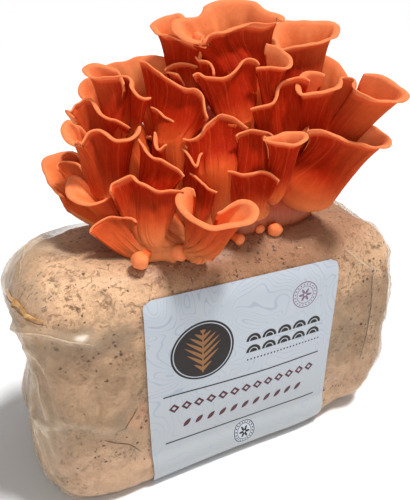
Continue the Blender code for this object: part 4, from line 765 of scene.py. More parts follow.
hiddenMushrooms = [
    # direction, reach, height, width, flare, foot, radii
    hidden("mushroom_back_low_right", 48, 44, 180, 52, 14, (54, 2, 148), (6.0, 7.5)),
    hidden("mushroom_back_low_centre", 88, 44, 174, 54, 12, (20, 6, 148), (6.0, 7.5)),
    hidden("mushroom_back_low_left", 130, 44, 178, 50, 14, (-14, 4, 148), (6.0, 7.5)),
    hidden("mushroom_back_mid_right", 62, 38, 208, 52, 15, (46, 2, 150), (6.5, 8.0)),
    hidden("mushroom_back_mid_left", 108, 38, 205, 54, 14, (4, 0, 150), (6.5, 8.0)),
    hidden("mushroom_back_high_left", 98, 32, 236, 50, 18, (14, -4, 151), (6.0, 7.5)),
]
buds = {
    # foot, tip, radius of the stem and of the cap
    "mushroom_bud_left": ((-42, -30, 151), (-56, -43, 149.5), 3.0, 4.6),
    "mushroom_bud_front": ((-25, -29, 151), (-31, -42, 148.5), 3.6, 4.8),
    "mushroom_bud_right": ((5, -29, 151), (11, -38, 148), 2.8, 3.6),
    "mushroom_bud_small": ((26, -24, 151), (27, -32, 149.5), 2.2, 3.0),
    "mushroom_bud_under_right": ((38, -24, 151), (34, -37, 149), 2.6, 4.4),
}


def budMesh(foot, tip, stemRadius, capRadius, random):
    # a young mushroom: a short stem, a cap that flares to a round edge, and a domed top
    around = capStyle["budSides"]
    foot = np.array(foot, dtype=float)
    growth = np.array(tip, dtype=float) - foot
    side = unit(np.cross(growth, up))
    front = unit(np.cross(growth, side))
    profile = np.array([
        (0.0, stemRadius), (0.3, stemRadius * 0.95), (0.52, stemRadius), (0.64, capRadius * 0.88),
        (0.74, capRadius * 1.02), (0.84, capRadius * 0.98), (0.93, capRadius * 0.8),
        (0.99, capRadius * 0.52), (1.02, capRadius * 0.24), (1.03, 0.0)])
    path = smoothCurve(np.column_stack([profile, np.zeros(len(profile))]), False, 4)
    angles = np.linspace(0.0, 2.0 * math.pi, around, endpoint=False)
    lobes = 1.0 + 0.06 * np.sin(2.0 * angles + random.uniform(0.0, 6.3))
    lobes = lobes + 0.04 * np.sin(5.0 * angles + random.uniform(0.0, 6.3))
    spokes = side * np.cos(angles)[:, None] + front * np.sin(angles)[:, None]
    rows = [foot + growth * share + spokes * (max(radius, 0.0) * lobes)[:, None]
            for share, radius, _ in path[:-1]]
    points = np.concatenate(rows + [(foot + growth * path[-1][0])[None]])
    faces = gridFaces(len(rows), around, True)
    faces.append(list(reversed(range(around))))
    last = (len(rows) - 1) * around
    faces += [[last + index, last + (index + 1) % around, len(points) - 1] for index in range(around)]
    rise = np.repeat([0.2 + 0.8 * min(share, 1.0) for share, _, _ in path[:-1]], around)
    zeros = np.zeros(len(points))
    return points, faces, {"gillSide": zeros, "gillRise": np.append(rise, 1.0), "gillTurn": zeros}


def makeMushrooms():
    ridges = {"Ridge Height": 0.00028, "Ridge Sharpness": 1.3, "Short Ridge Share": 0.5}
    tree = gillTree()
    flesh = fleshMaterial()
    shapes = {shape["name"]: shape for shape in seenMushrooms + hiddenMushrooms}
    for number, node in enumerate(list(shapes) + list(buds)):
        random = np.random.RandomState(number + 40)
        if node not in shapes:
            points, faces, attributes = budMesh(*buds[node], random)
        else:
            points, faces, attributes = mushroomMesh(shapes[node], random)
        mesh = meshFrom(node, points, faces)
        faceOutwards(mesh)
        for name, values in attributes.items():
            addAttribute(mesh, name, values)
        piece = addObject(node.replace("mushroom", "cap"), mesh)
        nodesApplied(piece, tree, {**ridges, "Seed": number, "Finish": flesh})
        piece.data.shade_smooth()
        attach(piece, "root")
        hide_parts(node)
    print("mushrooms:", len(shapes), "and buds:", len(buds))


blockSize = {
    "width": 236.0,
    "depth": 102.0,
    "height": 145.0,
    "rounding": 25.0,
    "bottomFullness": 6.0,
    "rightFullness": 7.0,
    "flatSteps": (62, 22, 36),
    "roundSteps": 9,
    "lowest": 0.9,
    "looseSink": 7.0,          # how far the block falls back where the film is loose
    "relief": ((0.9, 26.0, 1), (0.5, 11.0, 2), (0.25, 5.0, 3)),     # height, size and seed of its lumps
    # soft dents and swellings: centre x, y, z, reach, height
    "swells": [
        (-119, -10, 82, 20, -7.0), (-119, 20, 128, 26, 4.0), (-105, -40, 22, 24, 5.0), (0, -52, 75, 60, 2.5),
        (112, -40, 30, 24, -3.0), (119, 30, 96, 34, 6.0), (60, 45, 146, 34, 3.0), (30, 52, 70, 60, 2.0),
        (-118, 50, 146, 20, -8.7), (-119, 38, 140, 14, -4.0), (-119, 0, 112, 14, -3.5),
        (-119, 45, 96, 16, -2.4), (-119, 16, 92, 14, 1.4), (-119, 40, 70, 16, -7.2),
        (-119, 10, 66, 14, -1.9), (-119, -20, 60, 14, 1.6),
        (-119, 0, 36, 16, -1.9), (-117, -40, 30, 14, -1.6), (-112, -45, 10, 16, -5.6), (-88, -52, 0, 16, 0.7),
        (-60, -52, 0, 18, 1.6), (118, -40, 144, 16, -2.0), (119, -44, 120, 14, -1.9), (119, -44, 92, 14, 3.8),
        (119, -44, 42, 14, 5.5), (117, -47, 18, 14, 1.2), (100, -52, 4, 16, -5.6), (76, -51, 0, 16, -1.4),
    ],
}
filmStyle = {
    "lift": 0.8,               # how far the film stands off the block
    "thickness": 0.15,
    "flatSteps": (66, 30, 54),
    "roundSteps": 13,
    "cutCentre": (17.0, -12.0),
    "cutHalfLength": 66.0,
    "cutHalfWidth": 22.0,
    "loose": ((-112.0, 26.0, 132.0, 26.0), (112.0, 40.0, 128.0, 26.0)),     # centre and reach
    "glint": ((-88.0, -53.0, 120.0), (7.0, 9.0, 2.6)),     # a painted highlight on the front fold: centre and reach
}
labelSize = {
    "left": -57.0,
    "right": 70.0,
    "bottom": 1.5,
    "top": 131.0,
    "thickness": 0.25,
    "above": 0.35,             # from the film to the back of the paper
    "corner": 5.0,
    "steps": 61,
}


def blockSkin(box, grow):
    # the points of the block's skin that belong to points of its plain box, and the way out at each
    half = np.array([blockSize["width"], blockSize["depth"], blockSize["height"]]) / 2.0
    middle = np.array([0.0, 0.0, half[2]])
    core = np.clip(box - middle, blockSize["rounding"] - half, half - blockSize["rounding"])
    outward = unit(box - middle - core)
    skin = middle + core + outward * blockSize["rounding"]
    swell = 0.6 + 0.6 * np.sin(skin[:, 0] / 19.0 + 0.7) * np.sin(skin[:, 2] / 17.0 + skin[:, 1] / 23.0)
    below = blockSize["bottomFullness"] * 2.0 * np.abs(outward[:, 1] * outward[:, 2])
    swell += np.where(outward[:, 2] < 0.0, below, 0.0)
    right = blockSize["rightFullness"] * 2.0 * np.abs(outward[:, 0] * outward[:, 1])
    swell += np.where(outward[:, 0] > 0.0, right, 0.0)
    for x, y, z, reach, height in blockSize["swells"]:
        away = np.sum((np.array([x, y, z]) - skin) ** 2, axis=1)
        swell += height * np.exp(-away / (2.0 * reach * reach))
    skin = skin + outward * (swell + grow)[:, None]
    return skin, outward


def boxLines(half, flatSteps, roundSteps):
    # where one side of the box is cut: in even steps where it is flat, and by angle where it is rounded
    start = half - blockSize["rounding"]
    turns = np.radians(np.linspace(0.0, 45.0, roundSteps + 1))[1:]
    ends = start + blockSize["rounding"] * np.tan(turns)
    return np.concatenate([-ends[::-1], np.linspace(-start, start, flatSteps + 1), ends])


def boxGrid(lines):
    # corners and faces of a closed box whose sides are cut along the lines
    counts = [len(line) for line in lines]
    corners = {}
    points = []
    faces = []

    def corner(*key):
        if key not in corners:
            corners[key] = len(points)
            points.append([line[index] for line, index in zip(lines, key)])
        return corners[key]

    for axis in range(3):
        first, second = (axis + 1) % 3, (axis + 2) % 3
        for i in range(counts[first] - 1):
            for j in range(counts[second] - 1):
                for end in (0, counts[axis] - 1):
                    quad = []
                    for di, dj in ((0, 0), (1, 0), (1, 1), (0, 1)):
                        key = [0, 0, 0]
                        key[axis], key[first], key[second] = end, i + di, j + dj
                        quad.append(corner(*key))
                    faces.append(quad if end else quad[::-1])
    return np.array(points), faces


def blockBox(style):
    # the plain box of the block, cut as finely as the style says, and standing on the floor
    halves = [blockSize[side] / 2.0 for side in ("width", "depth", "height")]
    box, faces = boxGrid([boxLines(half, steps, style["roundSteps"])
                          for half, steps in zip(halves, style["flatSteps"])])
    box[:, 2] += blockSize["height"] / 2.0
    return box, faces


def labelShare(points):
    # one where the label lies flat on the film, falling to nothing round it
    fall = 7.0
    left, right, top = labelSize["left"], labelSize["right"] + 1.0, labelSize["top"]
    x = smoothStep(left - fall, left, points[:, 0]) * smoothStep(right + fall, right, points[:, 0])
    z = smoothStep(top + fall, top, points[:, 2])
    isFront = points[:, 1] < -20.0
    return x * z * isFront


def looseShare(points):
    # one where the film stands off the block, in the two upper corners at the back
    share = np.zeros(len(points))
    for x, y, z, reach in filmStyle["loose"]:
        away = np.sum((points - np.array([x, y, z])) ** 2, axis=1)
        share = np.maximum(share, np.exp(-away / (2.0 * reach * reach)))
    return share


def heldRelief(skin):
    # the unevenness of the block, which the clinging film follows
    relief = sum(height * lumps(skin, size, seed) for height, size, seed in blockSize["relief"])
    return relief * (1.0 - 0.85 * labelShare(skin))


creasePaths = {
    "ridge": [(-119, -28, 119), (-113, -43, 124), (-106, -49, 124), (-96, -53, 120), (-84, -53, 115)],
    "first": [(-117, -37, 111), (-114, -42, 110), (-111, -45, 106), (-109, -47, 99)],
    "second": [(-116, -37, 99), (-113, -42, 94), (-113, -42, 87), (-113, -43, 80), (-112, -46, 69)],
    "third": [(-117, -31, 79), (-118, -35, 69), (-118, -39, 62), (-118, -41, 52), (-117, -42, 38),
              (-114, -42, 25)],
    "fourth": [(-118, -34, 67), (-116, -42, 64), (-113, -47, 58)],
    "across": [(-113, -46, 62), (-105, -52, 66), (-95, -55, 63), (-86, -55, 57), (-77, -55, 53),
               (-72, -55, 53)],
    "hook": [(-78, -55, 53), (-72, -55, 53), (-67, -55, 58), (-63, -54, 64)],
    "low": [(-85, -56, 49), (-78, -56, 44), (-70, -55, 39), (-63, -56, 30)],
    "shoulder": [(-106, -14, 146), (-102, -28, 146), (-98, -42, 142), (-93, -50, 132)],
    "crown": [(-104, 8, 147), (-100, 2, 149), (-93, -4, 149), (-87, -15, 148)],
    "corner": [(-112, -14, 142), (-108, -4, 145), (-103, 11, 147), (-93, 19, 148)],
    "rightEdge": [(106, -52, 126), (110, -54, 109), (110, -56, 94), (112, -55, 68), (110, -54, 48)],
    "rightFace": [(96, -54, 122), (98, -57, 97), (99, -56, 72), (98, -56, 47)],
    "rightTop": [(77, -50, 135), (87, -53, 126), (97, -55, 119)],
    "backLeft": [(-118, 30, 116), (-118, 34, 84), (-118, 28, 48), (-117, 34, 14)],
    "backRight": [(118, 14, 120), (121, 18, 88), (120, 12, 50), (118, 16, 20)],
}
creases = [
    # how high each crease stands and how wide it is; a hollow has a negative height
    ("ridge", 2.6, 3.0), ("first", 1.6, 1.6), ("second", 1.8, 1.8), ("third", 1.8, 1.8),
    ("fourth", 1.2, 1.4), ("across", 1.5, 2.2), ("hook", -0.9, 1.6), ("low", -0.9, 1.6),
    ("shoulder", -1.5, 3.0), ("crown", 1.4, 2.6), ("corner", 1.6, 2.2), ("rightEdge", 1.4, 2.0),
    ("rightFace", 1.0, 1.8), ("rightTop", 1.0, 1.8), ("backLeft", 1.8, 2.2), ("backRight", 1.8, 2.2),
]


def nearPath(points, path):
    # how far each point is from a path
    near = np.full(len(points), 1e9)
    for start, end in zip(path[:-1], path[1:]):
        run = end - start
        share = np.clip(((points - start) @ run) / (run @ run), 0.0, 1.0)
        near = np.minimum(near, np.linalg.norm(points - start - share[:, None] * run, axis=1))
    return near


def filmFolds(skin):
    # creases where the film is gathered at the ends of the block
    lift = np.zeros(len(skin))
    for name, height, width in creases:
        path = smoothCurve(np.array(creasePaths[name], dtype=float), False, 6)
        lift += height * np.exp(-(nearPath(skin, path) / width) ** 2)
    ends = smoothStep(92.0, 116.0, np.abs(skin[:, 0]))
    gather = np.abs(lumps(skin * np.array([1.0, 1.0, 0.18]), 9.0, 7))
    lift += ends * np.maximum(0.0, 1.3 - 5.0 * gather)
    return lift * (1.0 - labelShare(skin))


def filmMilkAndGlint(points):
    # how milky the film is: most where it stands off the block, and along its creases and at its ends, with a
    # painted highlight on the front fold
    ends = np.maximum(smoothStep(-98.0, -116.0, points[:, 0]), 0.6 * smoothStep(108.0, 119.0, points[:, 0]))
    folds = np.clip(filmFolds(points) / 1.8, 0.0, 1.0)
    centre, reach = np.array(filmStyle["glint"])
    glint = np.exp(-np.sum(((points - centre) / reach) ** 2, axis=1))
    return 0.62 * looseShare(points) ** 1.5 + 0.2 * ends + 0.28 * folds + 0.6 * glint


def onFilm(box, above=0.0):
    # the points of the film that belong to points of the plain box
    skin, outward = blockSkin(box, filmStyle["lift"])
    return skin + outward * (heldRelief(skin) + filmFolds(skin) + above)[:, None]


def makeBlock():
    box, faces = blockBox(blockSize)
    skin, outward = blockSkin(box, 0.0)
    sink = blockSize["looseSink"] * looseShare(skin) * smoothStep(-0.2, 0.2, outward[:, 1])
    # small pits, and shallow places where the crust has broken off
    sink += 0.35 * np.maximum(0.0, lumps(skin, 3.2, 5)) + 0.5 * smoothStep(0.15, 0.5, lumps(skin, 7.0, 6))
    skin = skin + outward * (heldRelief(skin) - sink)[:, None]
    skin[:, 2] = np.maximum(skin[:, 2], blockSize["lowest"])
    piece = addObject("substrate", meshFrom("substrate", skin, faces), substrateMaterial())
    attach(piece, "root")
    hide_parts("substrate_block")
    print("substrate block made")
    return piece


def makeFilm():
    box, faces = blockBox(filmStyle)
    milkAndGlint = filmMilkAndGlint(blockSkin(box, filmStyle["lift"])[0])
    outer = onFilm(box)
    outer[:, 2] = np.maximum(outer[:, 2], 0.0)
    # the cut in its top that the mushrooms come out of
    x = (outer[:, 0] - filmStyle["cutCentre"][0]) / filmStyle["cutHalfLength"]
    y = (outer[:, 1] - filmStyle["cutCentre"][1]) / filmStyle["cutHalfWidth"]
    inside = (x * x + y * y < 1.0) & (outer[:, 2] > blockSize["height"] * 0.9)
    faces = [face for face in faces if not all(inside[corner] for corner in face)]
    used = sorted({corner for face in faces for corner in face})
    renumbered = {corner: index for index, corner in enumerate(used)}
    faces = [[renumbered[corner] for corner in face] for face in faces]
    mesh = meshFrom("film", outer[used], faces)
    addAttribute(mesh, "milkAndGlint", milkAndGlint[used])
    piece = addObject("film", mesh, filmMaterial())
    wall = piece.modifiers.new("wall", "SOLIDIFY")
    wall.thickness = filmStyle["thickness"] * millimetre
    wall.offset = -1.0
    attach(piece, "root")
    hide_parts("film_bag")
    print("film made")


def makeLabel():
    across = np.linspace(labelSize["left"], labelSize["right"], labelSize["steps"])
    upwards = np.linspace(labelSize["bottom"], labelSize["top"], labelSize["steps"])
    x, z = np.meshgrid(across, upwards)
    # round the two upper corners by drawing the outermost points in
    corner = labelSize["corner"]
    fromTop = labelSize["top"] - z
    for edge, sign in ((labelSize["left"], 1.0), (labelSize["right"], -1.0)):
        away = np.clip(corner - np.clip(fromTop, 0.0, corner), 0.0, corner)
        inset = corner - np.sqrt(np.maximum(corner * corner - away * away, 0.0))
        near = smoothStep(3.0 * corner, 0.0, np.abs(x - edge))
        x = x + sign * inset * near
    box = np.stack([x.ravel(), np.full(x.size, -blockSize["depth"] / 2.0), z.ravel()], axis=1)
    outer = onFilm(box, labelSize["above"] + labelSize["thickness"])
    inner = onFilm(box, labelSize["above"])
    count = labelSize["steps"]
    faces = gridFaces(count, count)
    layer = count * count
    faces += [[layer + index for index in reversed(face)] for face in gridFaces(count, count)]
    # the paper's four edges
    for step in range(count - 1):
        low, high = step, (count - 1) * count + step
        left, right = step * count, step * count + count - 1
        faces.append([low + 1, low, layer + low, layer + low + 1])
        faces.append([high, high + 1, layer + high + 1, layer + high])
        faces.append([left, left + count, layer + left + count, layer + left])
        faces.append([right + count, right, layer + right, layer + right + count])
    mesh = meshFrom("labelSheet", np.concatenate([outer, inner]), faces)
    flat = np.stack([(x - labelSize["left"]).ravel(), (z - labelSize["bottom"]).ravel()], axis=1)
    flat = np.concatenate([flat, flat])
    corners = np.empty(len(mesh.loops), dtype=np.int32)
    mesh.loops.foreach_get("vertex_index", corners)
    mesh.uv_layers.new(name="labelMap").data.foreach_set("uv", flat[corners].astype(np.float32).ravel())
    addAttribute(mesh, "back", np.concatenate([np.zeros(layer), np.ones(layer)]))
    mesh.set_sharp_from_angle(angle=math.radians(60.0))
    piece = addObject("labelSheet", mesh, labelMaterial())
    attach(piece, "root")
    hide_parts("label")
    print("label made")


def substrateMaterial():
    # straw and grain bound by pale mycelium: a cream crust with fine cracks above, greyer and speckled on the
    # sides, with painted shade round the cut, where the mushrooms' shadow and their warm bounce fall
    look = {
        "cream": tint(200, 162, 127), "ground": tint(161, 127, 97), "grey": tint(140, 119, 96),
        "crust": tint(240, 194, 152), "brown": tint(112, 74, 45), "olive": tint(100, 82, 58),
        "fleck": tint(64, 34, 14), "crack": tint(96, 58, 32), "pink": tint(212, 160, 126),
        "lowPale": tint(216, 176, 144), "shaded": tint(140, 82, 48),
    }
    material, shader, wiring, place = newMaterial("substrateBlock")
    x, y, z = wiring.parts(place)
    broad = wiring.noise(place, 22.0, 3.0, 0.6)
    middle = wiring.noise(place, 85.0, 6.0, 0.68, 0.5)
    fine = wiring.noise(place, 420.0, 4.0, 0.7)
    colour = wiring.mix(wiring.step(middle, 0.36, 0.62), look["ground"], look["cream"])
    colour = wiring.mix(wiring.step(broad, 0.46, 0.66, 0.0, 0.7), colour, look["grey"])
    colour = wiring.mix(wiring.step(wiring.noise(place, 31.0, 2.0), 0.6, 0.7, 0.0, 0.6), colour, look["pink"])
    # the crust above, with a ragged lower edge, and the paler foot of the block
    ragged = wiring.step(wiring.noise(place, 26.0, 3.0, 0.6), 0.3, 0.7, -0.016, 0.016)
    upper = wiring.step(wiring.plus(z, ragged), 0.1, 0.124)
    upper = wiring.times(upper, wiring.step(middle, 0.34, 0.54, 0.4, 1.0))
    colour = wiring.mix(upper, colour, look["crust"])
    lower = wiring.times(wiring.step(z, 0.062, 0.024), wiring.step(middle, 0.3, 0.6, 0.3, 0.8))
    colour = wiring.mix(lower, colour, look["lowPale"])
    smudges = wiring.times(wiring.step(wiring.noise(place, 42.0, 3.0, 0.6), 0.54, 0.66),
                           wiring.step(wiring.noise(place, 240.0, 4.0, 0.75), 0.46, 0.6))
    colour = wiring.mix(wiring.times(smudges, 0.75), colour, look["olive"])
    stains = wiring.step(wiring.noise(place, 64.0, 3.0), 0.52, 0.62)
    stains = wiring.times(stains, wiring.step(fine, 0.5, 0.6))
    colour = wiring.mix(wiring.times(stains, 0.7), colour, look["brown"])
    # cracks between the plates of the crust
    wander = wiring.node("ShaderNodeTexNoise", {"Vector": place, "Scale": 90.0}).outputs["Color"]
    bent = wiring.mix(0.035, place, wander)
    plates = wiring.node("ShaderNodeTexVoronoi", {"Vector": bent, "Scale": 85.0}, feature="DISTANCE_TO_EDGE")
    crusty = wiring.step(wiring.noise(place, 48.0, 2.0), 0.54, 0.6, 0.0, 0.35)
    crusty = wiring.plus(crusty, wiring.times(upper, 0.7))
    broken = wiring.times(crusty, wiring.step(wiring.noise(place, 170.0, 2.0), 0.5, 0.58))
    cracks = wiring.times(wiring.step(plates.outputs["Distance"], 0.09, 0.02), broken)
    colour = wiring.mix(wiring.times(cracks, 0.75), colour, look["crack"])
    # painted shade: a darker, browner oval round the cut, for the mushrooms' shadow and their warm bounce
    acrossCut = wiring.maths("DIVIDE", wiring.minus(x, 0.024), 0.085)
    alongCut = wiring.maths("DIVIDE", wiring.plus(y, 0.006), 0.045)
    fromCut = wiring.plus(wiring.times(acrossCut, acrossCut), wiring.times(alongCut, alongCut))
    shaded = wiring.times(wiring.step(fromCut, 2.0, 0.9), wiring.step(z, 0.1, 0.14))
    colour = wiring.mix(wiring.times(shaded, 0.8), colour, look["shaded"])
    # dark specks of uneven shape, in some places only
    wander = wiring.node("ShaderNodeTexNoise", {"Vector": place, "Scale": 700.0}).outputs["Color"]
    bent = wiring.mix(0.0028, place, wander)
    specks = wiring.node("ShaderNodeTexVoronoi", {"Vector": bent, "Scale": 350.0})
    drawn = wiring.node("ShaderNodeSeparateColor", {0: specks.outputs["Color"]}).outputs[0]
    chosen = wiring.step(drawn, 0.74, 0.78)
    chosen = wiring.times(chosen, wiring.step(wiring.noise(place, 36.0, 2.0), 0.44, 0.58))
    spots = wiring.times(wiring.step(specks.outputs["Distance"], 0.4, 0.26), chosen)
    colour = wiring.mix(wiring.times(spots, 0.95), colour, look["fleck"])
    grain = wiring.noise(place, 900.0, 3.0, 0.7)
    colour = wiring.mix(wiring.step(grain, 0.5, 0.3, 0.0, 0.3), colour, look["brown"])
    relief = wiring.plus(fine, wiring.times(middle, 1.6))
    layers = wiring.plus(wiring.step(middle, 0.5, 0.512), wiring.step(middle, 0.57, 0.582))
    relief = wiring.plus(relief, wiring.times(layers, 0.5))
    relief = wiring.minus(relief, wiring.times(cracks, 0.8))
    wiring.fill(shader, {
        "Base Color": colour,
        "Roughness": 0.6,
        "Specular IOR Level": 0.3,
        "Normal": wiring.bump(relief, 0.7, 0.0011),
    })
    return material


def flakeTree():
    # scatters dark bark flakes and pale straw chips over the surface that it is given, more in some patches
    sizes = ("Flakes per Square Metre", "Patch Size", "Length", "Width", "Thickness")
    tree, wiring, given = newTree("scatteredFlakes", sizes)
    seed = given["Seed"]
    patchScale = wiring.maths("DIVIDE", 1.0, given["Patch Size"])
    patches = wiring.node("ShaderNodeTexNoise", {"Scale": patchScale, "Detail": 2.0, "W": seed},
                          noise_dimensions="4D").outputs[0]
    density = wiring.times(wiring.step(patches, 0.44, 0.62, 0.08, 1.0), given["Flakes per Square Metre"])
    scattered = wiring.node("GeometryNodeDistributePointsOnFaces",
                            {"Mesh": given["Geometry"], "Density": density, "Seed": seed})
    size = wiring.together(given["Length"], given["Width"], given["Thickness"])
    flake = wiring.node("GeometryNodeMeshIcoSphere", {"Radius": 0.5, "Subdivisions": 1}).outputs[0]
    flake = wiring.node("GeometryNodeTransform", {"Geometry": flake, "Scale": size}).outputs[0]
    fullTurn = {0: (0.0, 0.0, 0.0), 1: (0.0, 0.0, 6.283), "Seed": seed}
    spin = wiring.node("FunctionNodeRandomValue", fullTurn, data_type="FLOAT_VECTOR").outputs[0]
    lying = wiring.node("FunctionNodeRotateRotation", {0: scattered.outputs["Rotation"], 1: spin},
                        rotation_space="LOCAL").outputs[0]
    scales = {2: 0.45, 3: 1.25, "Seed": seed}
    scale = wiring.node("FunctionNodeRandomValue", scales, data_type="FLOAT").outputs[1]
    placed = wiring.node("GeometryNodeInstanceOnPoints", {
        "Points": scattered.outputs["Points"], "Instance": flake, "Rotation": lying, "Scale": scale})
    endTree(wiring, placed.outputs[0], given["Finish"])
    return tree


flakes = {
    "barkFlakes": {"Flakes per Square Metre": 16000.0, "Patch Size": 0.03, "Length": 0.0015, "Width": 0.0009,
                   "Thickness": 0.0004, "Seed": 3, "colours": ((78, 46, 24), (108, 70, 40))},
    "strawChips": {"Flakes per Square Metre": 9000.0, "Patch Size": 0.045, "Length": 0.0042, "Width": 0.0011,
                   "Thickness": 0.0005, "Seed": 8, "colours": ((186, 146, 104), (150, 112, 74))},
}


def makeFlakes(block):
    tree = flakeTree()
    for name, settings in flakes.items():
        material = twoToneMaterial(name, settings["colours"], 160.0, {"Roughness": 0.8})
        piece = nodesApplied(addObject(name, block.data.copy()), tree, {**settings, "Finish": material})
        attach(piece, "root")
        print(name, len(piece.data.polygons))


def filmMaterial():
    # thin clear film, milky where it is creased or stands off the block, with a painted highlight on the
    # front fold and painted reflection where it is seen at a grazing angle
    look = {"thin": tint(206, 180, 150), "milky": tint(244, 230, 212)}
    material, shader, wiring, place = newMaterial("clearFilm")
    cloud = wiring.step(wiring.noise(place, 40.0, 4.0, 0.6), 0.35, 0.7, 0.55, 1.25)
    hazeAndSheen = wiring.times(wiring.attribute("milkAndGlint"), cloud)
    streaks = wiring.noise(wiring.stretched(place, (1.0, 1.0, 0.3)), 130.0, 4.0, 0.6)
    hazeAndSheen = wiring.plus(hazeAndSheen, wiring.step(streaks, 0.62, 0.75, 0.02, 0.09))
    # painted reflection: the film is hazier and paler where it is seen at a grazing angle
    grazingReflection = wiring.node("ShaderNodeLayerWeight", {"Blend": 0.25}).outputs["Facing"]
    hazeAndSheen = wiring.plus(hazeAndSheen, wiring.times(grazingReflection, 0.18))
    wiring.fill(shader, {
        "Base Color": wiring.mix(wiring.step(hazeAndSheen, 0.45, 0.75), look["thin"], look["milky"]),
        "Alpha": wiring.maths("MINIMUM", hazeAndSheen, 0.85),
        "Roughness": 0.3,
        "Specular IOR Level": 0.5,
        "Normal": wiring.bump(wiring.noise(place, 95.0, 3.0), 0.35, 0.0012),
    })
    return material


ribbons = {
    # thin strips that lie on the film: its folded, browned edge with the line under it, the pale creases,
    # milky folds with painted highlights on them, and painted shadows along the dark creases
    "filmSeam": {
        "paths": [[(-119, -4, 131), (-119, -13, 132), (-118, -24, 133), (-116, -34, 134), (-114, -40, 132),
                   (-110, -44, 131), (-106, -47, 130)]],
        "halfWidth": 1.5, "halfHeight": 0.4, "lift": 0.5, "colours": ((214, 166, 104), (186, 132, 74)),
        "alpha": 0.9,
    },
    "filmSeamLine": {
        "paths": [[(-119, -4, 129), (-119, -13, 130), (-118, -25, 131), (-115, -37, 131), (-110, -44, 129),
                   (-105, -47, 128)]],
        "halfWidth": 0.5, "halfHeight": 0.3, "lift": 0.8, "colours": ((136, 92, 50), (110, 70, 36)),
        "alpha": 1.0,
    },
    # milky folds of the film, with painted highlights along them
    "milkyCreaseHighlights": {
        "paths": [creasePaths[name] for name in ("ridge", "first", "second", "third", "fourth", "corner",
                                                 "rightEdge", "rightTop", "backLeft", "backRight")],
        "halfWidth": 0.5, "halfHeight": 0.2, "lift": 0.3, "colours": ((236, 212, 182), (216, 188, 156)),
        "alpha": 0.42,
    },
    # painted shadows along the film's dark creases
    "creaseShadows": {
        "paths": [creasePaths[name] for name in ("hook", "low", "rightFace")],
        "halfWidth": 0.4, "halfHeight": 0.2, "lift": 0.3, "colours": ((112, 80, 52), (92, 64, 40)),
        "alpha": 0.5,
    },
}


def makeRibbon(path, settings):
    # one strip with tapered, closed ends
    path = smoothCurve(np.array(path, dtype=float), False, 12)
    middle = onFilm(path, settings["lift"])
    outward = blockSkin(path, 0.0)[1]
    side = unit(np.cross(outward, unit(np.gradient(middle, axis=0))))
    share = np.linspace(0.0, 1.0, len(path))
    swell = (0.06 + np.sin(share * math.pi) ** 0.6) * (1.0 + 0.6 * lumps(middle, 5.0, 4))
    around = 8
    width = settings["halfWidth"] * swell[:, None]
    height = settings["halfHeight"] * np.sin(share * math.pi)[:, None] ** 0.6 + 0.03
    rings = [middle + side * width * math.cos(turn) + outward * height * math.sin(turn)
             for turn in np.linspace(0.0, 2.0 * math.pi, around, endpoint=False)]
    return np.stack(rings, axis=1).reshape(-1, 3), tubeFaces(len(path), around)


def makeRibbons():
    for name, settings in ribbons.items():
        points = []
        faces = []
        for path in settings["paths"]:
            newPoints, newFaces = makeRibbon(path, settings)
            faces += [[len(points) + corner for corner in face] for face in newFaces]
            points += list(newPoints)
        finish = {"Roughness": 0.3, "Alpha": settings["alpha"]}
        material = twoToneMaterial(name, settings["colours"], 300.0, finish)
        piece = addObject(name, meshFrom(name, points, faces), material)
        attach(piece, "root")
    print("film creases made")


labelDesign = {
    # places on the label in millimetres from its lower left corner
    "emblem": {"middle": (34.0, 91.0), "radius": 20.0},
    "frond": {"pitch": 4.4, "slope": 0.8, "reach": 11.5, "leaf": 1.45, "foot": -15.5, "tip": 15.0},
    "domes": {"from": 62.0, "to": 117.0, "pitch": 11.0, "radius": 5.0, "heights": (80.5, 88.5)},
    "rules": {"from": 9.0, "to": 118.0, "heights": (64.0, 29.0), "half": 0.5},
    "lozenges": {"from": 11.5, "to": 115.5, "pitch": 8.0, "height": 54.0, "half": (3.5, 3.3), "hole": 0.42},
    "leaves": {"from": 19.5, "to": 107.5, "pitch": 8.0, "height": 40.5, "half": 3.2},
    "dots": {"from": 62.4, "to": 117.6, "pitch": 2.4, "height": 75.5, "radius": 0.6},
    "badges": ({"middle": (103.0, 111.0), "radius": 8.6, "colour": "mauve"},
               {"middle": (63.5, 18.5), "radius": 7.4, "colour": "brown"}),
}


class Printing:
    # shapes on the sheet's flat map in millimetres, as distances that are negative inside, and the colour
    # with all that is printed so far
    def __init__(self, wiring, colour):
        self.wiring = wiring
        self.colour = colour
        place = wiring.node("ShaderNodeUVMap", uv_map="labelMap").outputs[0]
        self.across, self.upwards, _ = wiring.parts(place)

    def away(self, middle, value):
        return self.wiring.minus(value, middle)

    def length(self, first, second):
        vector = self.wiring.together(first, second)
        return self.wiring.node("ShaderNodeVectorMath", {0: vector}, operation="LENGTH").outputs["Value"]

    def bar(self, value, low, high):
        offset = self.wiring.maths("ABSOLUTE", self.away((low + high) / 2.0, value))
        return self.wiring.minus(offset, (high - low) / 2.0)

    def common(self, *shapes):
        joined = shapes[0]
        for shape in shapes[1:]:
            joined = self.wiring.maths("MAXIMUM", joined, shape)
        return joined

    def cells(self, value, start, pitch):
        # the distance from the middle of the cell that the value falls in
        offset = self.wiring.maths("FLOORED_MODULO", self.away(start, value), pitch)
        return self.away(pitch / 2.0, offset)

    def ring(self, distance, radius, half):
        return self.away(half, self.wiring.maths("ABSOLUTE", self.away(radius, distance)))

    def ink(self, shape, colour, strength=1.0):
        share = self.wiring.step(shape, 0.12, -0.12, 0.0, strength)
        self.colour = self.wiring.mix(share, self.colour, colour)


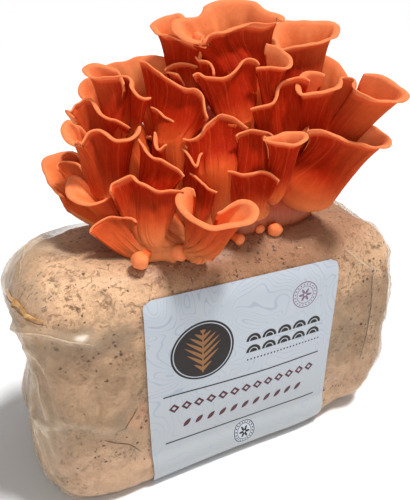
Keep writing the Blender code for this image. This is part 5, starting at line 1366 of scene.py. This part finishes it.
def printEmblem(design, look):
    # a dark disc with a thin pale ring and a fern frond
    wiring = design.wiring
    across = design.away(labelDesign["emblem"]["middle"][0], design.across)
    upwards = design.away(labelDesign["emblem"]["middle"][1], design.upwards)
    distance = design.length(across, upwards)
    radius = labelDesign["emblem"]["radius"]
    design.ink(design.away(radius, distance), look["brown"])
    design.ink(design.ring(distance, radius - 1.6, 0.3), look["paper"])
    frond = labelDesign["frond"]
    side = wiring.maths("ABSOLUTE", across)
    along = wiring.minus(upwards, wiring.times(side, frond["slope"]))
    share = wiring.maths("DIVIDE", design.away(frond["foot"], along), frond["tip"] - frond["foot"])
    share = wiring.maths("MULTIPLY", share, 1.0, clamp=True)
    bulge = wiring.maths("SINE", wiring.times(wiring.maths("POWER", share, 0.7), math.pi))
    reach = wiring.maths("MULTIPLY_ADD", bulge, frond["reach"], 0.01)
    slim = wiring.minus(1.0, wiring.maths("POWER", wiring.maths("DIVIDE", side, reach), 2.0))
    leaf = wiring.maths("ABSOLUTE", design.cells(along, frond["foot"], frond["pitch"]))
    leaf = wiring.minus(leaf, wiring.times(slim, frond["leaf"]))
    design.ink(leaf, look["tan"])
    stem = design.common(design.away(0.5, side), design.bar(upwards, frond["foot"], frond["tip"] - 1.0))
    design.ink(stem, look["tan"])


def printRows(design, look):
    # two rules, a row of pierced lozenges, a row of leaves, rows of domes and a row of dots
    wiring = design.wiring
    rules = labelDesign["rules"]
    for height in rules["heights"]:
        rule = design.common(design.bar(design.upwards, height - rules["half"], height + rules["half"]),
                             design.bar(design.across, rules["from"], rules["to"]))
        design.ink(rule, look["brown"])

    row = labelDesign["lozenges"]
    length = design.bar(design.across, row["from"], row["to"])
    cell = wiring.maths("ABSOLUTE", design.cells(design.across, row["from"], row["pitch"]))
    rise = wiring.maths("ABSOLUTE", design.away(row["height"], design.upwards))
    size = wiring.plus(wiring.maths("DIVIDE", cell, row["half"][0]),
                       wiring.maths("DIVIDE", rise, row["half"][1]))
    lozenge = wiring.times(design.away(1.0, size), row["half"][1] * 0.7)
    hole = wiring.times(design.away(row["hole"], size), -row["half"][1] * 0.7)
    design.ink(design.common(lozenge, hole, length), look["maroon"])

    row = labelDesign["leaves"]
    length = design.bar(design.across, row["from"], row["to"])
    cell = design.cells(design.across, row["from"], row["pitch"])
    rise = design.away(row["height"], design.upwards)
    shift = row["half"] * 0.72
    radius = row["half"] * 1.5
    one = design.away(radius, design.length(design.away(shift, cell), design.away(-shift, rise)))
    other = design.away(radius, design.length(design.away(-shift, cell), design.away(shift, rise)))
    design.ink(design.common(one, other, length), look["maroon"])

    row = labelDesign["domes"]
    cell = design.cells(design.across, row["from"], row["pitch"])
    for height in row["heights"]:
        rise = design.away(height, design.upwards)
        distance = design.length(cell, rise)
        whole = design.common(design.bar(rise, 0.0, 2.0 * row["radius"]),
                              design.bar(design.across, row["from"], row["to"]))
        design.ink(design.common(design.away(row["radius"], distance), whole), look["brown"])
        design.ink(design.common(design.ring(distance, row["radius"] * 0.58, 0.28), whole), look["paper"])

    row = labelDesign["dots"]
    cell = design.cells(design.across, row["from"], row["pitch"])
    dot = design.away(row["radius"], design.length(cell, design.away(row["height"], design.upwards)))
    design.ink(design.common(dot, design.bar(design.across, row["from"], row["to"])), look["brown"])


def printBadges(design, look):
    # round ornaments: two rings, a ring of dots and a rosette
    wiring = design.wiring
    for badge in labelDesign["badges"]:
        across = design.away(badge["middle"][0], design.across)
        upwards = design.away(badge["middle"][1], design.upwards)
        distance = design.length(across, upwards)
        angle = wiring.maths("ARCTAN2", upwards, across)
        colour = look[badge["colour"]]
        radius = badge["radius"]
        design.ink(design.away(radius + 0.8, distance), look["paper"])
        design.ink(design.ring(distance, radius, 0.32), colour)
        design.ink(design.ring(distance, radius * 0.68, 0.22), colour)
        turn = wiring.times(design.cells(angle, 0.0, 2.0 * math.pi / 20.0), radius * 0.84)
        design.ink(design.away(0.5, design.length(turn, design.away(radius * 0.84, distance))), colour)
        petals = wiring.maths("COSINE", wiring.times(angle, 6.0))
        petals = wiring.maths("MULTIPLY_ADD", petals, 0.17, 0.36)
        design.ink(wiring.minus(distance, wiring.times(petals, radius)), colour)
        design.ink(design.away(radius * 0.1, distance), look["paper"])


def labelMaterial():
    # smooth pale blue paper; the printed design comes from the sheet's own flat map
    look = {
        "paper": tint(186, 192, 200), "paperLow": tint(172, 176, 178), "line": tint(160, 171, 186),
        "brown": tint(22, 10, 8), "maroon": tint(78, 16, 30), "tan": tint(146, 98, 52),
        "mauve": tint(126, 98, 122),
    }
    material, shader, wiring, _ = newMaterial("labelPaper")
    design = Printing(wiring, look["paper"])
    design.colour = wiring.mix(wiring.step(design.upwards, 90.0, 10.0), look["paper"], look["paperLow"])
    flat = wiring.together(design.across, design.upwards)
    waves = wiring.times(wiring.noise(flat, 0.035, 1.0, 0.4, 0.6), 22.0)
    waves = wiring.maths("ABSOLUTE", design.away(0.5, wiring.maths("FRACT", waves)))
    design.colour = wiring.mix(wiring.step(waves, 0.09, 0.05, 0.0, 0.75), design.colour, look["line"])
    printEmblem(design, look)
    printRows(design, look)
    printBadges(design, look)
    wiring.fill(shader, {
        "Base Color": wiring.mix(wiring.attribute("back"), design.colour, look["paper"]),
        "Roughness": 0.4,
        "Specular IOR Level": 0.35,
    })
    return material


clusterBase = {
    # height, x, y, half length, half width of each section of the knot of stem bases
    "sections": [
        (138.0, 16.0, -12.0, 50.0, 12.0),
        (146.5, 17.0, -12.0, 58.0, 17.0),
        (154.0, 17.0, -11.0, 60.0, 19.0),
        (168.0, 15.0, -9.0, 52.0, 19.0),
        (184.0, 12.0, -7.0, 42.0, 17.0),
        (200.0, 11.0, -6.0, 32.0, 15.0),
        (216.0, 12.0, -4.0, 20.0, 11.0),
        (224.0, 13.0, -4.0, 9.0, 5.0),
    ],
    "ridges": 34,
    "ridgeHeight": 1.2,
    "facesPerRidge": 5,
    "middle": (13.0, -8.0, 150.0),
    "plainBelow": (146.0, 156.0),      # plain where it goes through the film, so that it fits the cut
}


def stemMaterial():
    # tan flesh, redder further up, with fine upright streaks
    look = {"low": tint(178, 94, 56), "high": tint(180, 58, 22), "streak": tint(150, 44, 18)}
    material, shader, wiring, place = newMaterial("stemFlesh")
    colour = wiring.mix(wiring.step(wiring.parts(place)[2], 0.150, 0.172), look["low"], look["high"])
    streak = wiring.noise(wiring.stretched(place, (1.0, 1.0, 0.15)), 420.0, 3.0)
    wiring.fill(shader, {
        "Base Color": wiring.mix(wiring.step(streak, 0.4, 0.7, 0.0, 0.5), colour, look["streak"]),
        "Roughness": 0.6,
        "Subsurface Weight": 0.1,
        "Subsurface Radius": (1.0, 0.35, 0.15),
        "Subsurface Scale": 0.004,
    })
    return material


def makeClusterBase():
    sections = clusterBase["sections"]
    places = smoothCurve(np.array([section[:3] for section in sections]), False, 10)
    sizes = smoothCurve(np.array([(section[0],) + section[3:] for section in sections]), False, 10)
    around = clusterBase["ridges"] * clusterBase["facesPerRidge"]
    turns = np.linspace(0.0, 2.0 * math.pi, around, endpoint=False)
    rings = []
    for (height, x, y), (_, halfLength, halfWidth) in zip(places, sizes):
        sway = 0.12 * np.sin(height / 13.0 + turns * 3.0)
        lump = 1.0 + 0.07 * np.sin(3.0 * turns + height / 9.0) + 0.05 * np.sin(7.0 * turns)
        ridge = np.abs(np.sin((turns + sway) * clusterBase["ridges"] / 2.0)) ** 0.7 - 0.8
        hold = smoothStep(*clusterBase["plainBelow"], height)
        swell = 1.0 + (lump - 1.0) * hold
        ring = np.stack([x + halfLength * swell * np.cos(turns), y + halfWidth * swell * np.sin(turns),
                         np.full(around, height)], axis=1)
        spoke = unit(ring - np.array([x, y, height]))
        rings.append(ring + spoke * (ridge * clusterBase["ridgeHeight"] * hold)[:, None])
    points = np.concatenate(rings)
    outward = unit(points - np.array(clusterBase["middle"]))
    points = points + outward * (0.8 * lumps(points, 7.0, 9))[:, None]
    faces = tubeFaces(len(rings), around)
    material = stemMaterial()
    piece = addObject("stemKnot", meshFrom("stemKnot", points, faces), material)
    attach(piece, "root")
    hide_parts("cluster_base")
    print("stem knot made")


studio = {
    "floor": 4000.0,           # half the floor's side
    "floorColour": (0.9, 0.9, 0.9, 1.0),
    "sky": 0.3,
    "skySeen": 0.7,            # added where the camera looks straight at it
    "lamps": {
        "key": {"from": (0.3, -0.16, 1.0), "strength": 3.5, "spread": 10.0},
        "fill": {"from": (-0.5, -1.0, 0.45), "strength": 0.5, "spread": 50.0},
    },
    "lens": 37.44,
    "sensor": 36.0,
    "pitch": math.radians(64.5),
}


def makeStudio():
    half = studio["floor"]
    corners = [(-half, -half, 0), (half, -half, 0), (half, half, 0), (-half, half, 0)]
    material, shader, wiring, _ = newMaterial("floor")
    wiring.fill(shader, {"Base Color": studio["floorColour"], "Roughness": 0.8, "Specular IOR Level": 0.1})
    addObject("floor", meshFrom("floor", corners, [[0, 1, 2, 3]]), material)

    world = bpy.data.worlds.new("studio")
    world.use_nodes = True
    wiring = Wiring(world.node_tree)
    seenDirectly = wiring.node("ShaderNodeLightPath").outputs["Is Camera Ray"]
    strength = wiring.maths("MULTIPLY_ADD", seenDirectly, studio["skySeen"], studio["sky"])
    wiring.fill(world.node_tree.nodes["Background"], {"Color": (1.0, 1.0, 1.0, 1.0), "Strength": strength})
    bpy.context.scene.world = world
    bpy.context.scene.view_settings.view_transform = "Standard"

    for name, lamp in studio["lamps"].items():
        light = bpy.data.lights.new(name, "SUN")
        light.angle = math.radians(lamp["spread"])
        light.energy = lamp["strength"]
        obj = addObject(name, light)
        obj.rotation_euler = Vector(lamp["from"]).to_track_quat("Z", "Y").to_euler()

    camera = bpy.data.cameras.new("camera")
    camera.lens = studio["lens"]
    camera.sensor_width = studio["sensor"]
    holder = addObject("camera", camera)
    holder.location = board["eye"] * millimetre
    holder.rotation_euler = (studio["pitch"], 0.0, -board["yaw"])
    bpy.context.scene.camera = holder
    print("floor, light and camera made")


makeStudio()
makeMushrooms()
makeClusterBase()
makeFlakes(makeBlock())
makeFilm()
makeRibbons()
makeLabel()
